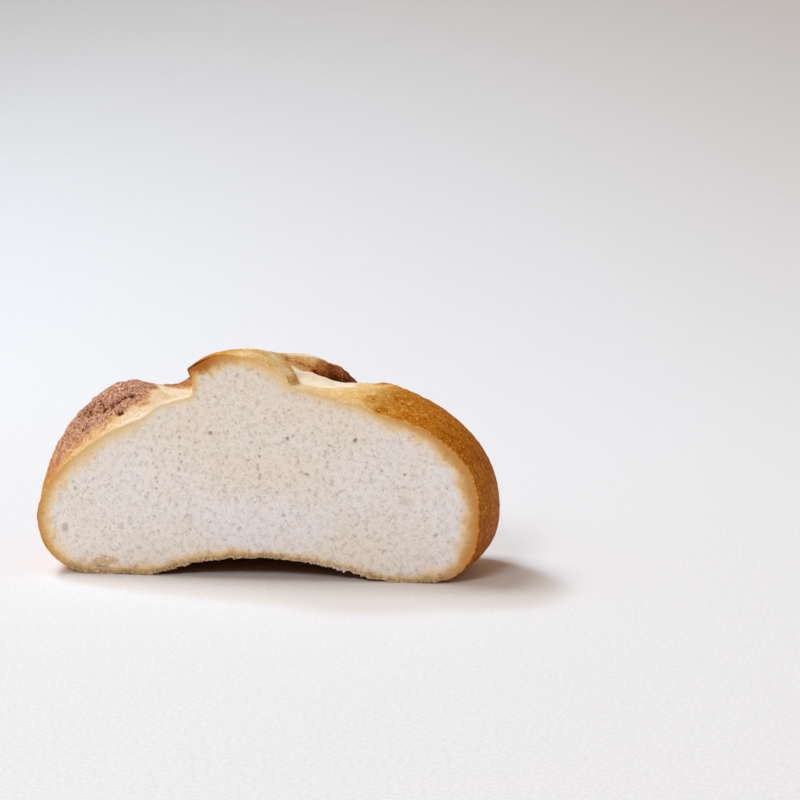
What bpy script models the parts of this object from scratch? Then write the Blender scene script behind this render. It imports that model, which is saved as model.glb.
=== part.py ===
"""Half of a rosetta roll: a round roll stamped into petals round a raised button, then cut in two.

The whole roll is modelled as meridians that run from the top of the button down to the middle of the underside.
A meridian is a blend of two profiles, one along the floor of a groove and one along the crest of a petal. The
roll is then cut upright through its axis. The half stands on its base, with the cut face towards -Y.
"""

import math

import bmesh
import bpy
from mathutils import Vector

NODE_NAME = "rosetta_half"

# Driving dimensions of the whole roll, in metres
WIDEST_HEIGHT = 0.0148  # height of the widest level above the table
GROOVE_RADIUS = 0.0550  # plan radius at that height, where a groove reaches it
GROOVE_CROWN = 0.0460  # height at which the groove floors would meet over the axis
GROOVE_FULLNESS = 1.7  # superellipse exponent: 2 is an ellipse, less is flatter in the flank, more is squarer

# Each petal: where its crest lies, its plan radius, its crown height and its fullness, as for the grooves
PETALS = (
    (math.radians(21), 0.0627, 0.0521, 2.16),
    (math.radians(93), 0.0588, 0.0560, 2.30),
    (math.radians(157), 0.0588, 0.0531, 2.40),
    (math.radians(222), 0.0582, 0.0525, 2.30),
    (math.radians(308), 0.0590, 0.0525, 2.20),
)

# Each groove: where it lies, half its width, and its depth near the button, in the shoulder and at the rim, in
# shares of the full depth
GROOVES = (
    (math.radians(-8), math.radians(34), (0.90, 0.64, 1.08)),
    (math.radians(53), math.radians(15), (0.95, 0.95, 0.95)),
    (math.radians(140.5), math.radians(16), (0.21, 1.00, 1.00)),
    (math.radians(180), math.radians(16.4), (1.05, 1.00, 1.00)),
    (math.radians(265), math.radians(16), (1.00, 1.00, 1.00)),
)
INTO_SHOULDER = (math.radians(33), math.radians(50))  # profile angles over which the depth changes
OUT_TO_RIM = (math.radians(60), math.radians(90))
GROOVE_SHARPNESS = 1.9  # exponent of the groove's section: lower is a sharper crease
GROOVE_SWIRL = math.radians(4)  # how far a groove turns from the button out to the rim

SIDE_FULLNESS = 2.24  # exponent of the round from the widest height down to the base, as for the grooves

# The base: a flat ring that rests on the table, round a shallow hollow; both lie further out towards +X
BASE_RADIUS = 0.0410
BASE_SWING = 0.0010
HOLLOW_RADIUS = 0.0298
HOLLOW_SWING = 0.0028
HOLLOW_HEIGHT = 0.0051
HOLLOW_POWER = 1.25

# The raised button, whose rim lifts into a lip towards -X and melts into the petals towards +X
BUTTON_HEIGHT = 0.0556
BUTTON_SHIFT = Vector((-0.0035, 0.0050, 0.0))  # the button sits off the roll's axis, behind the cut
BUTTON_SHIFT_FADE = (0.015, 0.029)  # radii between which that shift dies out
LIP_RADIUS = 0.0138
LIP_DROP = 0.0048  # from the button's top down to the lip's edge
LIP_POWER = 2.5
LIP_UNDERCUT = 0.0012
LIP_FALL = 0.0034
LIP_SPAN = (math.radians(88), math.radians(145))  # from a soft rim to a full lip
SOFT_RADIUS = 0.0125
SOFT_DROP = 0.0062
SOFT_POWER = 1.7

# Dough that fills the ring groove: a low saddle where the rim is soft, and a high bridge to the petal behind
SADDLE_RISE = 0.0030
BRIDGE_RISE = 0.0055
BRIDGE_DROP = 0.0016  # from the button's top to its rim over the bridge
BRIDGE_PLACE = math.radians(68)
BRIDGE_HALF_WIDTH = math.radians(46)

# Angles along a profile: 0 over the axis, a right angle at the widest height
FOOT_ANGLE = math.radians(17.5)
FILLING_END = math.radians(36)
PETAL_START_SOFT = math.radians(18)
PETAL_START_LIP = math.radians(24)
PETAL_START_BRIDGE = math.radians(10)
PETAL_RISE = math.radians(13)

# Rings of points from the button's top to the middle of the underside, and points round the roll
TOP_RINGS = 9
RIM_RINGS = 7
CROWN_RINGS = 22
SIDE_RINGS = 9
BASE_RINGS = 3
HOLLOW_RINGS = 8
POINTS_ROUND = 128

CUT_MERGE = 1e-6  # points this near the cut plane are put on it


def clear_scene():
    """Removes every object that the scene starts with."""
    for thing in list(bpy.data.objects):
        bpy.data.objects.remove(thing, do_unlink=True)


def smoothstep(low, high, value):
    """0 below low and 1 above high, with a smooth turn between."""
    share = min(max((value - low) / (high - low), 0.0), 1.0)
    return share * share * (3 - 2 * share)


def mix(first, second, share):
    """The value that lies share of the way from first to second."""
    return first + (second - first) * share


def angle_between(first, second):
    """The smaller angle between two directions, without sign."""
    return abs((first - second + math.pi) % math.tau - math.pi)


def lip_share(theta):
    """How far the button's rim stands up as a lip: 1 towards -X and 0 towards +X."""
    return smoothstep(*LIP_SPAN, angle_between(theta, 0.0))


def bridge_share(theta):
    """1 where the button runs into the petal behind it, fading to 0 on either side."""
    return 1.0 - smoothstep(0.0, BRIDGE_HALF_WIDTH, angle_between(theta, BRIDGE_PLACE))


def petal_size(theta):
    """Plan radius, crown height and fullness of the petals at theta, blended where two of them meet."""
    for petal, following in zip(PETALS, PETALS[1:] + PETALS[:1]):
        gap = (following[0] - petal[0]) % math.tau
        along = (theta - petal[0]) % math.tau
        if along <= gap:
            break
    share = smoothstep(0.3, 0.7, along / gap)
    return [mix(mine, theirs, share) for mine, theirs in zip(petal[1:], following[1:])]


def petal_share(theta, alpha):
    """1 on a petal and 0 on the floor of a groove, at a profile angle alpha."""
    turn = GROOVE_SWIRL * (alpha / (math.pi / 2) - 0.5)
    share = 1.0
    for place, half_width, (inner, shoulder, rim) in GROOVES:
        across = angle_between(theta, place + turn) / half_width
        if across < 1.0:
            depth = mix(inner, shoulder, smoothstep(*INTO_SHOULDER, alpha))
            depth = mix(depth, rim, smoothstep(*OUT_TO_RIM, alpha))
            share *= 1.0 - depth * (1.0 - across**GROOVE_SHARPNESS) ** 2
    return share


def profile(radius, crown, fullness, alpha):
    """A point (distance from the axis, height) on a superellipse that stands on the widest height."""
    power = 2.0 / fullness
    across = radius * math.sin(alpha) ** power
    height = WIDEST_HEIGHT + (crown - WIDEST_HEIGHT) * max(math.cos(alpha), 0.0) ** power
    return across, height


def crown_point(theta, alpha):
    """A point on the petals and grooves, between the button's foot and the widest height."""
    lip = lip_share(theta)
    bridge = bridge_share(theta)
    start = mix(mix(PETAL_START_SOFT, PETAL_START_LIP, lip), PETAL_START_BRIDGE, bridge)
    share = petal_share(theta, alpha) * smoothstep(start, start + PETAL_RISE, alpha)
    filling = SADDLE_RISE * (1.0 - lip) + BRIDGE_RISE * bridge
    filling *= 1.0 - smoothstep(FOOT_ANGLE, FILLING_END, alpha)
    low = profile(GROOVE_RADIUS, GROOVE_CROWN, GROOVE_FULLNESS, alpha)
    high = profile(*petal_size(theta), alpha)
    return mix(low[0], high[0], share), mix(low[1] + filling, high[1], share)


def crown_step(theta, share):
    """A point on the crown, from the button's foot out to the widest height."""
    return crown_point(theta, mix(FOOT_ANGLE, math.pi / 2, share))


def button_top_point(theta, share):
    """A point on top of the button, from its middle out to its rim."""
    lip = lip_share(theta)
    across = mix(SOFT_RADIUS, LIP_RADIUS, lip) * share
    soft_drop = mix(SOFT_DROP, BRIDGE_DROP, bridge_share(theta))
    drop = mix(soft_drop * share**SOFT_POWER, LIP_DROP * share**LIP_POWER, lip)
    return across, BUTTON_HEIGHT - drop


def button_rim_point(theta, share):
    """A point on the curve that falls from the button's rim to its foot, tucked in under the lip."""
    lip = lip_share(theta)
    rim = Vector(button_top_point(theta, 1.0))
    foot = Vector(crown_point(theta, FOOT_ANGLE))
    fall = (foot - rim) / 3.0
    under_rim = rim + mix(fall, Vector((-LIP_UNDERCUT, -LIP_FALL)), lip)
    over_foot = foot - mix(fall, Vector((LIP_UNDERCUT, -0.5 * LIP_FALL)), lip)
    rest = 1.0 - share
    return (
        rim * rest**3
        + under_rim * 3 * rest**2 * share
        + over_foot * 3 * rest * share**2
        + foot * share**3
    )


def base_radius(theta):
    """Outer edge of the flat ring of the base."""
    return BASE_RADIUS + BASE_SWING * math.cos(theta)


def hollow_radius(theta):
    """Where the flat ring of the base ends and the hollow begins."""
    return HOLLOW_RADIUS + HOLLOW_SWING * math.cos(theta)


def side_point(theta, share):
    """A point on the quarter round from the widest height down to the base."""
    widest = crown_point(theta, math.pi / 2)[0]
    turn = share * math.pi / 2
    power = 2.0 / SIDE_FULLNESS
    across = mix(base_radius(theta), widest, max(math.cos(turn), 0.0) ** power)
    return across, WIDEST_HEIGHT * (1.0 - math.sin(turn) ** power)


def base_point(theta, share):
    """A point on the flat ring, from its outer edge in to the hollow."""
    return mix(base_radius(theta), hollow_radius(theta), share), 0.0


def hollow_point(theta, share):
    """A point in the hollow of the underside, from its edge to the axis."""
    rest = 1.0 - share
    return hollow_radius(theta) * rest, HOLLOW_HEIGHT * (1.0 - rest**2) ** HOLLOW_POWER


def ring_steps():
    """For each ring, from top to bottom: the curve that it lies on, and how far along that curve."""
    bands = (
        (button_top_point, TOP_RINGS),
        (button_rim_point, RIM_RINGS),
        (crown_step, CROWN_RINGS),
        (side_point, SIDE_RINGS),
        (base_point, BASE_RINGS),
        (hollow_point, HOLLOW_RINGS),
    )
    steps = [(button_top_point, 0.0)]
    for curve, rings in bands:
        steps += [(curve, (ring + 1) / rings) for ring in range(rings)]
    return steps


def whole_roll():
    """The whole roll: a sphere's grid of points, each moved to its place on the roll."""
    steps = ring_steps()
    rings = len(steps) - 1
    mesh = bmesh.new()
    bmesh.ops.create_uvsphere(mesh, u_segments=POINTS_ROUND, v_segments=rings, radius=1.0)
    for point in mesh.verts:
        polar = math.acos(min(max(point.co.z, -1.0), 1.0))
        curve, share = steps[round(polar / math.pi * rings)]
        theta = math.atan2(point.co.y, point.co.x)
        across, height = curve(theta, share)
        point.co = (across * math.cos(theta), across * math.sin(theta), height)
        if height > WIDEST_HEIGHT:
            point.co += BUTTON_SHIFT * (1.0 - smoothstep(*BUTTON_SHIFT_FADE, across))
    return mesh


def cut_in_half(mesh):
    """Cuts the roll upright through its axis, keeps the half behind the cut and closes the flat cut face."""
    bmesh.ops.bisect_plane(
        mesh,
        geom=mesh.verts[:] + mesh.edges[:] + mesh.faces[:],
        dist=CUT_MERGE,
        plane_co=(0.0, 0.0, 0.0),
        plane_no=(0.0, -1.0, 0.0),
        clear_outer=True,
    )
    for face in mesh.faces:
        face.smooth = True
    rim = [edge for edge in mesh.edges if edge.is_boundary]
    cut_face = bmesh.ops.holes_fill(mesh, edges=rim, sides=0)["faces"]
    for face in cut_face:
        face.smooth = False
    bmesh.ops.recalc_face_normals(mesh, faces=mesh.faces[:])
    bmesh.ops.triangulate(mesh, faces=cut_face)


def centre_on_origin(mesh):
    """Moves the half so that the bottom centre of its bounding box is the origin."""
    low = [min(point.co[axis] for point in mesh.verts) for axis in range(3)]
    high = [max(point.co[axis] for point in mesh.verts) for axis in range(3)]
    move = Vector((-(low[0] + high[0]) / 2, -(low[1] + high[1]) / 2, -low[2]))
    bmesh.ops.translate(mesh, verts=mesh.verts[:], vec=move)


def bread_material():
    """Golden brown crust, matt and dry."""
    material = bpy.data.materials.new("bread_crust")
    material.use_nodes = True
    shader = material.node_tree.nodes["Principled BSDF"]
    shader.inputs["Base Color"].default_value = (0.50, 0.26, 0.09, 1.0)
    shader.inputs["Roughness"].default_value = 0.62
    shader.inputs["Metallic"].default_value = 0.0
    return material


def build_half():
    """Makes the half roll as one closed object, in a collection of its own."""
    mesh = whole_roll()
    cut_in_half(mesh)
    centre_on_origin(mesh)
    data = bpy.data.meshes.new(NODE_NAME)
    mesh.to_mesh(data)
    mesh.free()
    data.materials.append(bread_material())
    half = bpy.data.objects.new(NODE_NAME, data)
    collection = bpy.data.collections.new("rosetta_roll")
    bpy.context.scene.collection.children.link(collection)
    collection.objects.link(half)


clear_scene()
build_half()
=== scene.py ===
"""The looks of half a rosetta roll: a thin baked crust round a pale crumb, laid bare by one upright cut.

The crust repeats the sizes of the roll's solid as a closed shell with fine relief. The crumb is a closed
body inside it, with pores over its cut face. Loose crumbs cling to the lower edge of the cut. The half
stands on a plain pale floor in soft light.
"""

import itertools
import logging
import math
from collections.abc import Sequence
from dataclasses import dataclass
from enum import Enum

import bpy
import numpy as np
from mathutils import Matrix, Vector
from mathutils.geometry import delaunay_2d_cdt
from mathutils.kdtree import KDTree


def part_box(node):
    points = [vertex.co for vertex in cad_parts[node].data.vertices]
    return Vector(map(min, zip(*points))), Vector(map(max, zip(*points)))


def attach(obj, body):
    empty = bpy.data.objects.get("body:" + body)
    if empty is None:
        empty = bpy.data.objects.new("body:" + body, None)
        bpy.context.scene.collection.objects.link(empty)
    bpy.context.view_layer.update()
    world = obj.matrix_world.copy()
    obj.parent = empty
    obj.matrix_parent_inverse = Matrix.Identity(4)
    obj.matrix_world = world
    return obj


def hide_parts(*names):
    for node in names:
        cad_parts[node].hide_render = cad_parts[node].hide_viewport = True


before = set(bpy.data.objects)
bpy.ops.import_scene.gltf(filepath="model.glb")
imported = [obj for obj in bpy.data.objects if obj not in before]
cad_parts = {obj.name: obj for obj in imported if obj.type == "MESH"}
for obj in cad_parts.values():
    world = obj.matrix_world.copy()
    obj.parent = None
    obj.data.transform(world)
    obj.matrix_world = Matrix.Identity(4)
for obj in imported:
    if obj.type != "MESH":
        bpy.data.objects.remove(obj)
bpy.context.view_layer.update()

log = logging.getLogger("rosetta")

NODE_NAME = "rosetta_half"
BODY = "root"

Array = np.ndarray
Colour = tuple[float, float, float]
Pair = tuple[float, float]
Triple = tuple[float, float, float]
Curve = tuple[tuple[float, ...], tuple[float, ...]]  # places, and the value at each

CORNERS = ((0, 0), (1, 0), (1, 1), (0, 1))  # of a grid's cell: how far down and how far right


def smoothstep(low: float, high: float, value: Array | float) -> Array:
    """0 where value is below low and 1 where it is above high, with a smooth turn between."""
    share = np.clip((value - low) / (high - low), 0.0, 1.0)
    return share * share * (3.0 - 2.0 * share)


def mix(first: Array | float, second: Array | float, share: Array | float) -> Array:
    """The value that lies share of the way from first to second."""
    return first + (second - first) * share


def angle_between(first: Array, second: float) -> Array:
    """The smaller angle between two directions in radians, without sign."""
    return np.abs((first - second + math.pi) % math.tau - math.pi)


def paint(red: int, green: int, blue: int) -> Colour:
    """A display colour, 0 to 255 a channel, as the linear values that a shader takes."""
    channels = (channel / 255.0 for channel in (red, green, blue))
    return tuple(c / 12.92 if c <= 0.04045 else ((c + 0.055) / 1.055) ** 2.4 for c in channels)


def at_corners(values: Array, corners: Sequence[tuple[int, int]], axis: int) -> Array:
    """A grid's values at these corners of each of its cells, stacked along axis."""
    rings, columns = values.shape[:2]
    return np.stack([values[d : rings - 1 + d, r : columns - 1 + r] for d, r in corners], axis=axis)


def map_places(columns: int, rings: int, low: Sequence[float], high: Sequence[float]) -> Array:
    """Where a grid lies on the map.

    Args:
        columns: how many columns it has, from left to right.
        rings: how many rings it has, from the top down.
        low: left and lower end of its place.
        high: right and upper end of its place.

    Returns:
        Rings x columns places on the map.
    """
    across, down = np.meshgrid(np.linspace(low[0], high[0], columns), np.linspace(high[1], low[1], rings))
    return np.stack([across, down], axis=-1)


def in_space(plane: Array) -> Array:
    """Points of the cut plane, given by x and z, as points in space."""
    return np.insert(plane, 1, 0.0, axis=1)


def search_tree(plane: Array) -> KDTree:
    """Sorts points so that the nearest ones are found quickly.

    Args:
        plane: x and z of the points.

    Returns:
        A tree that holds each point under its number.
    """
    tree = KDTree(len(plane))
    for number, (x, z) in enumerate(plane.tolist()):
        tree.insert((x, z, 0.0), number)
    tree.balance()
    return tree


@dataclass(frozen=True)
class SolidNoise:
    """Smooth random values in space, the same each time for the same seed."""

    seed: int
    size: float  # distance over which the coarsest layer turns, in metres
    count: int = 3  # layers, each half as large and half as strong as the one before
    strength: float = 1.0
    table_size: int = 4096

    def layer(self, points: Array, size: float) -> Array:
        """One layer of noise.

        Args:
            points: places, in metres, with x, y and z last.
            size: distance over which the values turn, in metres.

        Returns:
            Values from -1 to 1, one for each place.
        """
        table = np.random.default_rng(self.seed).uniform(-1.0, 1.0, self.table_size)
        cell = points / size + self.seed * 0.37
        corner = np.floor(cell).astype(np.int64)
        part = cell - corner
        part = part**3 * (part * (part * 6.0 - 15.0) + 10.0)
        total = np.zeros(points.shape[:-1])
        for step in itertools.product((0, 1), repeat=3):
            x, y, z = (corner[..., axis] + step[axis] for axis in range(3))
            key = (x * 73856093) ^ (y * 19349663) ^ (z * 83492791)
            weight = np.prod(np.abs(1.0 - np.array(step) - part), axis=-1)
            total += table[key % self.table_size] * weight
        return total

    def at(self, points: Array) -> Array:
        """All layers together at points, from about -strength to strength."""
        total = sum(self.layer(points, self.size / 2**layer) / 2**layer for layer in range(self.count))
        return total / (2.0 - 2.0 ** (1 - self.count)) * self.strength


class Band(Enum):
    """The bands that a meridian runs through, from the top of the button to the middle of the underside."""

    TOP = 0
    RIM = 1
    CROWN = 2
    SIDE = 3
    BASE = 4
    HOLLOW = 5


@dataclass(frozen=True)
class Petal:
    """One petal of the stamped top: where its crest lies, its plan radius, crown height and fullness."""

    place: float
    radius: float
    crown: float
    fullness: float


@dataclass(frozen=True)
class Groove:
    """One groove between petals: where it lies, half its width, and its depths."""

    place: float
    half_width: float
    depths: Triple  # by the button, midway and outside


@dataclass(frozen=True)
class RollForm:
    """The whole roll's shape, in metres and radians, with its axis at x 0 and y 0 and the table at z 0."""

    widest_height: float = 0.0148
    groove_radius: float = 0.0550
    groove_crown: float = 0.0460
    groove_fullness: float = 1.7
    petals: tuple[Petal, ...] = (
        Petal(math.radians(21), 0.0627, 0.0521, 2.16),
        Petal(math.radians(93), 0.0588, 0.0560, 2.30),
        Petal(math.radians(157), 0.0588, 0.0531, 2.40),
        Petal(math.radians(222), 0.0582, 0.0525, 2.30),
        Petal(math.radians(308), 0.0590, 0.0525, 2.20),
    )
    grooves: tuple[Groove, ...] = (
        Groove(math.radians(-8), math.radians(34), (0.90, 0.64, 1.08)),
        Groove(math.radians(53), math.radians(15), (0.95, 0.95, 0.95)),
        Groove(math.radians(140.5), math.radians(16), (0.21, 1.00, 1.00)),
        Groove(math.radians(180), math.radians(16.4), (1.05, 1.00, 1.00)),
        Groove(math.radians(265), math.radians(16), (1.00, 1.00, 1.00)),
    )
    into_shoulder: Pair = (math.radians(33), math.radians(50))
    out_to_rim: Pair = (math.radians(60), math.radians(90))
    groove_sharpness: float = 1.9
    groove_swirl: float = math.radians(4)
    petal_blend: Pair = (0.3, 0.7)  # of the way from crest to crest
    side_fullness: float = 2.24
    base_radius: float = 0.0410
    base_swing: float = 0.0010
    hollow_radius: float = 0.0298
    hollow_swing: float = 0.0028
    hollow_height: float = 0.0051
    hollow_power: float = 1.25
    button_height: float = 0.0556
    button_shift: Pair = (-0.0035, 0.0050)
    button_shift_fade: Pair = (0.015, 0.029)
    lip_radius: float = 0.0138
    lip_drop: float = 0.0048
    lip_power: float = 2.5
    lip_undercut: float = 0.0012
    lip_fall: float = 0.0034
    lip_foot: float = 0.5  # share of that fall that is left for the last stretch, just over the foot
    lip_span: Pair = (math.radians(88), math.radians(145))
    soft_radius: float = 0.0125
    soft_drop: float = 0.0062
    soft_power: float = 1.7
    saddle_rise: float = 0.0030
    bridge_rise: float = 0.0055
    bridge_drop: float = 0.0016
    bridge_place: float = math.radians(68)
    bridge_half_width: float = math.radians(46)
    foot_angle: float = math.radians(17.5)
    filling_end: float = math.radians(36)
    petal_start_soft: float = math.radians(18)
    petal_start_lip: float = math.radians(24)
    petal_start_bridge: float = math.radians(10)
    petal_rise: float = math.radians(13)
    cut_rounds: int = 16  # of the search for the cut's directions

    def lip_share(self, theta: Array) -> Array:
        """How far the button's rim stands up as a lip at theta: 1 towards -X and 0 towards +X."""
        return smoothstep(*self.lip_span, angle_between(theta, 0.0))

    def bridge_share(self, theta: Array) -> Array:
        """1 where the button runs into the petal behind it at theta, fading to 0 on either side."""
        return 1.0 - smoothstep(0.0, self.bridge_half_width, angle_between(theta, self.bridge_place))

    def petal_size(self, theta: Array) -> list[Array]:
        """The petals' size, blended where two of them meet.

        Args:
            theta: directions round the roll.

        Returns:
            Plan radius, crown height and fullness at theta.
        """
        sizes = [np.zeros_like(theta) for _ in range(3)]
        for petal, following in zip(self.petals, self.petals[1:] + self.petals[:1], strict=True):
            gap = (following.place - petal.place) % math.tau
            along = (theta - petal.place) % math.tau
            share = smoothstep(*self.petal_blend, along / gap)
            for size, name in zip(sizes, ("radius", "crown", "fullness"), strict=True):
                blended = mix(getattr(petal, name), getattr(following, name), share)
                size[along <= gap] = blended[along <= gap]
        return sizes

    def petal_share(self, theta: Array, alpha: Array) -> Array:
        """1 on a petal and 0 on the floor of a groove.

        Args:
            theta: directions round the roll.
            alpha: profile angles, 0 over the axis and a right angle at the widest height.

        Returns:
            The share of the petals' profile.
        """
        turn = self.groove_swirl * (alpha / (math.pi / 2) - 0.5)
        share = np.ones_like(theta)
        for groove in self.grooves:
            inner, shoulder, rim = groove.depths
            across = np.minimum(angle_between(theta - turn, groove.place) / groove.half_width, 1.0)
            depth = mix(inner, shoulder, smoothstep(*self.into_shoulder, alpha))
            depth = mix(depth, rim, smoothstep(*self.out_to_rim, alpha))
            share *= 1.0 - depth * (1.0 - across**self.groove_sharpness) ** 2
        return share

    def profile(self, radius: Array, crown: Array, fullness: Array, alpha: Array) -> tuple[Array, Array]:
        """A point on a superellipse that stands on the widest height.

        Args:
            radius: plan radius at the widest height.
            crown: height over the axis.
            fullness: exponent, 2 for an ellipse.
            alpha: profile angle.

        Returns:
            Distance from the axis, and height.
        """
        power = 2.0 / fullness
        across = radius * np.sin(alpha) ** power
        rise = np.maximum(np.cos(alpha), 0.0) ** power
        return across, self.widest_height + (crown - self.widest_height) * rise

    def crown_point(self, theta: Array, alpha: Array) -> tuple[Array, Array]:
        """A point on the petals and grooves, between the button's foot and the widest height.

        Args:
            theta: directions round the roll.
            alpha: profile angles.

        Returns:
            Distance from the axis, and height.
        """
        lip, bridge = self.lip_share(theta), self.bridge_share(theta)
        start = mix(mix(self.petal_start_soft, self.petal_start_lip, lip), self.petal_start_bridge, bridge)
        share = self.petal_share(theta, alpha) * smoothstep(start, start + self.petal_rise, alpha)
        filling = self.saddle_rise * (1.0 - lip) + self.bridge_rise * bridge
        filling = filling * (1.0 - smoothstep(self.foot_angle, self.filling_end, alpha))
        low = self.profile(self.groove_radius, self.groove_crown, self.groove_fullness, alpha)
        high = self.profile(*self.petal_size(theta), alpha)
        return mix(low[0], high[0], share), mix(low[1] + filling, high[1], share)

    def button_radius(self, theta: Array) -> Array:
        """Radius of the button's rim at theta."""
        return mix(self.soft_radius, self.lip_radius, self.lip_share(theta))

    def top_point(self, theta: Array, share: Array) -> tuple[Array, Array]:
        """A point on top of the button, share of the way from its middle out to its rim.

        Args:
            theta: directions round the button.
            share: how far out.

        Returns:
            Distance from the button's middle, and height.
        """
        soft = mix(self.soft_drop, self.bridge_drop, self.bridge_share(theta)) * share**self.soft_power
        drop = mix(soft, self.lip_drop * share**self.lip_power, self.lip_share(theta))
        return self.button_radius(theta) * share, self.button_height - drop

    def rim_point(self, theta: Array, share: Array) -> tuple[Array, Array]:
        """A point on the curve that falls from the button's rim to its foot, tucked in under the lip.

        Args:
            theta: directions round the button.
            share: how far down the curve.

        Returns:
            Distance from the axis, and height.
        """
        lip = self.lip_share(theta)
        rim = np.array(self.top_point(theta, np.ones_like(theta)))
        foot = np.array(self.crown_point(theta, np.full_like(theta, self.foot_angle)))
        fall = (foot - rim) / 3.0
        inward, down = self.lip_undercut, self.lip_fall
        under_rim = rim + mix(fall, np.array([[-inward], [-down]]), lip)
        over_foot = foot - mix(fall, np.array([[inward], [-self.lip_foot * down]]), lip)
        rest = 1.0 - share
        curve = rim * rest**3 + under_rim * 3 * rest**2 * share + over_foot * 3 * rest * share**2
        curve = curve + foot * share**3
        return curve[0], curve[1]

    def side_point(self, theta: Array, share: Array) -> tuple[Array, Array]:
        """A point on the quarter round from the widest height down to the base.

        Args:
            theta: directions round the roll.
            share: how far down.

        Returns:
            Distance from the axis, and height.
        """
        widest = self.crown_point(theta, np.full_like(theta, math.pi / 2))[0]
        turn = share * math.pi / 2
        power = 2.0 / self.side_fullness
        base = self.base_radius + self.base_swing * np.cos(theta)
        across = mix(base, widest, np.maximum(np.cos(turn), 0.0) ** power)
        return across, self.widest_height * (1.0 - np.sin(turn) ** power)

    def under_point(self, theta: Array, share: Array, band: Band) -> tuple[Array, Array]:
        """A point on the flat ring of the base, or in the hollow inside it.

        Args:
            theta: directions round the roll.
            share: how far in along that band.
            band: BASE or HOLLOW.

        Returns:
            Distance from the axis, and height.
        """
        hollow = self.hollow_radius + self.hollow_swing * np.cos(theta)
        if band is Band.BASE:
            return mix(self.base_radius + self.base_swing * np.cos(theta), hollow, share), share * 0.0
        rest = 1.0 - share
        return hollow * rest, self.hollow_height * (1.0 - rest**2) ** self.hollow_power

    def meridian_point(self, band: Band, theta: Array, share: Array) -> tuple[Array, Array]:
        """A point on one band of the meridian at theta.

        Args:
            band: the band.
            theta: directions round the roll.
            share: how far along the band.

        Returns:
            Distance from the axis, and height.
        """
        if band is Band.TOP:
            return self.top_point(theta, share)
        if band is Band.RIM:
            return self.rim_point(theta, share)
        if band is Band.CROWN:
            return self.crown_point(theta, mix(self.foot_angle, math.pi / 2, share))
        if band is Band.SIDE:
            return self.side_point(theta, share)
        return self.under_point(theta, share, band)

    def shift_share(self, across: Array, height: Array) -> Array:
        """How much of the button's shift a point takes: 1 on the button, fading to 0 over the petals."""
        fade = 1.0 - smoothstep(*self.button_shift_fade, across)
        return np.where(height > self.widest_height, fade, 0.0)

    def place(self, band: Band, theta: Array, share: Array) -> Array:
        """Points of one band in space.

        Args:
            band: the band.
            theta: directions round the roll.
            share: how far along the band.

        Returns:
            x, y and z of each point.
        """
        across, height = self.meridian_point(band, theta, share)
        shift = self.shift_share(across, height)
        x = across * np.cos(theta) + self.button_shift[0] * shift
        y = across * np.sin(theta) + self.button_shift[1] * shift
        return np.stack([x, y, height], axis=-1)

    def cut_span(self, band: Band, share: float) -> Pair:
        """The directions at which a ring meets the cut, on the +X side and on the -X side.

        Args:
            band: the band of the ring.
            share: how far along the band the ring lies.

        Returns:
            First and last direction of the half that is kept.
        """
        ends = np.array([0.0, math.pi])
        towards = np.array([-1.0, 1.0])
        theta = ends
        for _ in range(self.cut_rounds):
            across, height = self.meridian_point(band, theta, np.full(2, share))
            lift = self.button_shift[1] * self.shift_share(across, height) / np.maximum(across, 1e-6)
            theta = ends + towards * np.arcsin(np.clip(lift, 0.0, 1.0))
        return float(theta[0]), float(theta[1])


@dataclass(frozen=True)
class SkinGrid:
    """Points over the half's skin, one row for each ring and one column for each place from cut to cut."""

    points: Array  # rings x columns x 3
    theta: Array  # direction round the roll, or round the button on its top
    along: Array  # for each ring, the number of its band plus how far along it lies

    def normals(self) -> Array:
        """Works out which way is outward.

        Returns:
            A direction for each point, kept within the cut plane along the cut.
        """
        down = np.gradient(self.points, axis=0)
        round_ = np.gradient(self.points, axis=1)
        normal = np.cross(down, round_)
        normal[0], normal[-1] = normal[1].mean(axis=0), normal[-2].mean(axis=0)
        normal[:, (0, -1), 1] = 0.0
        return normal / np.maximum(np.linalg.norm(normal, axis=-1, keepdims=True), 1e-12)

    def places(self) -> Array:
        """Each point's own place along the meridian."""
        return self.along[:, None] + np.zeros_like(self.theta)

    def thinned(self, step: int) -> "SkinGrid":
        """The same grid with one column in every step."""
        return SkinGrid(self.points[:, ::step], self.theta[:, ::step], self.along)

    def moved(self, points: Array) -> "SkinGrid":
        """The same grid with its points somewhere else."""
        return SkinGrid(points, self.theta, self.along)


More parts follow.
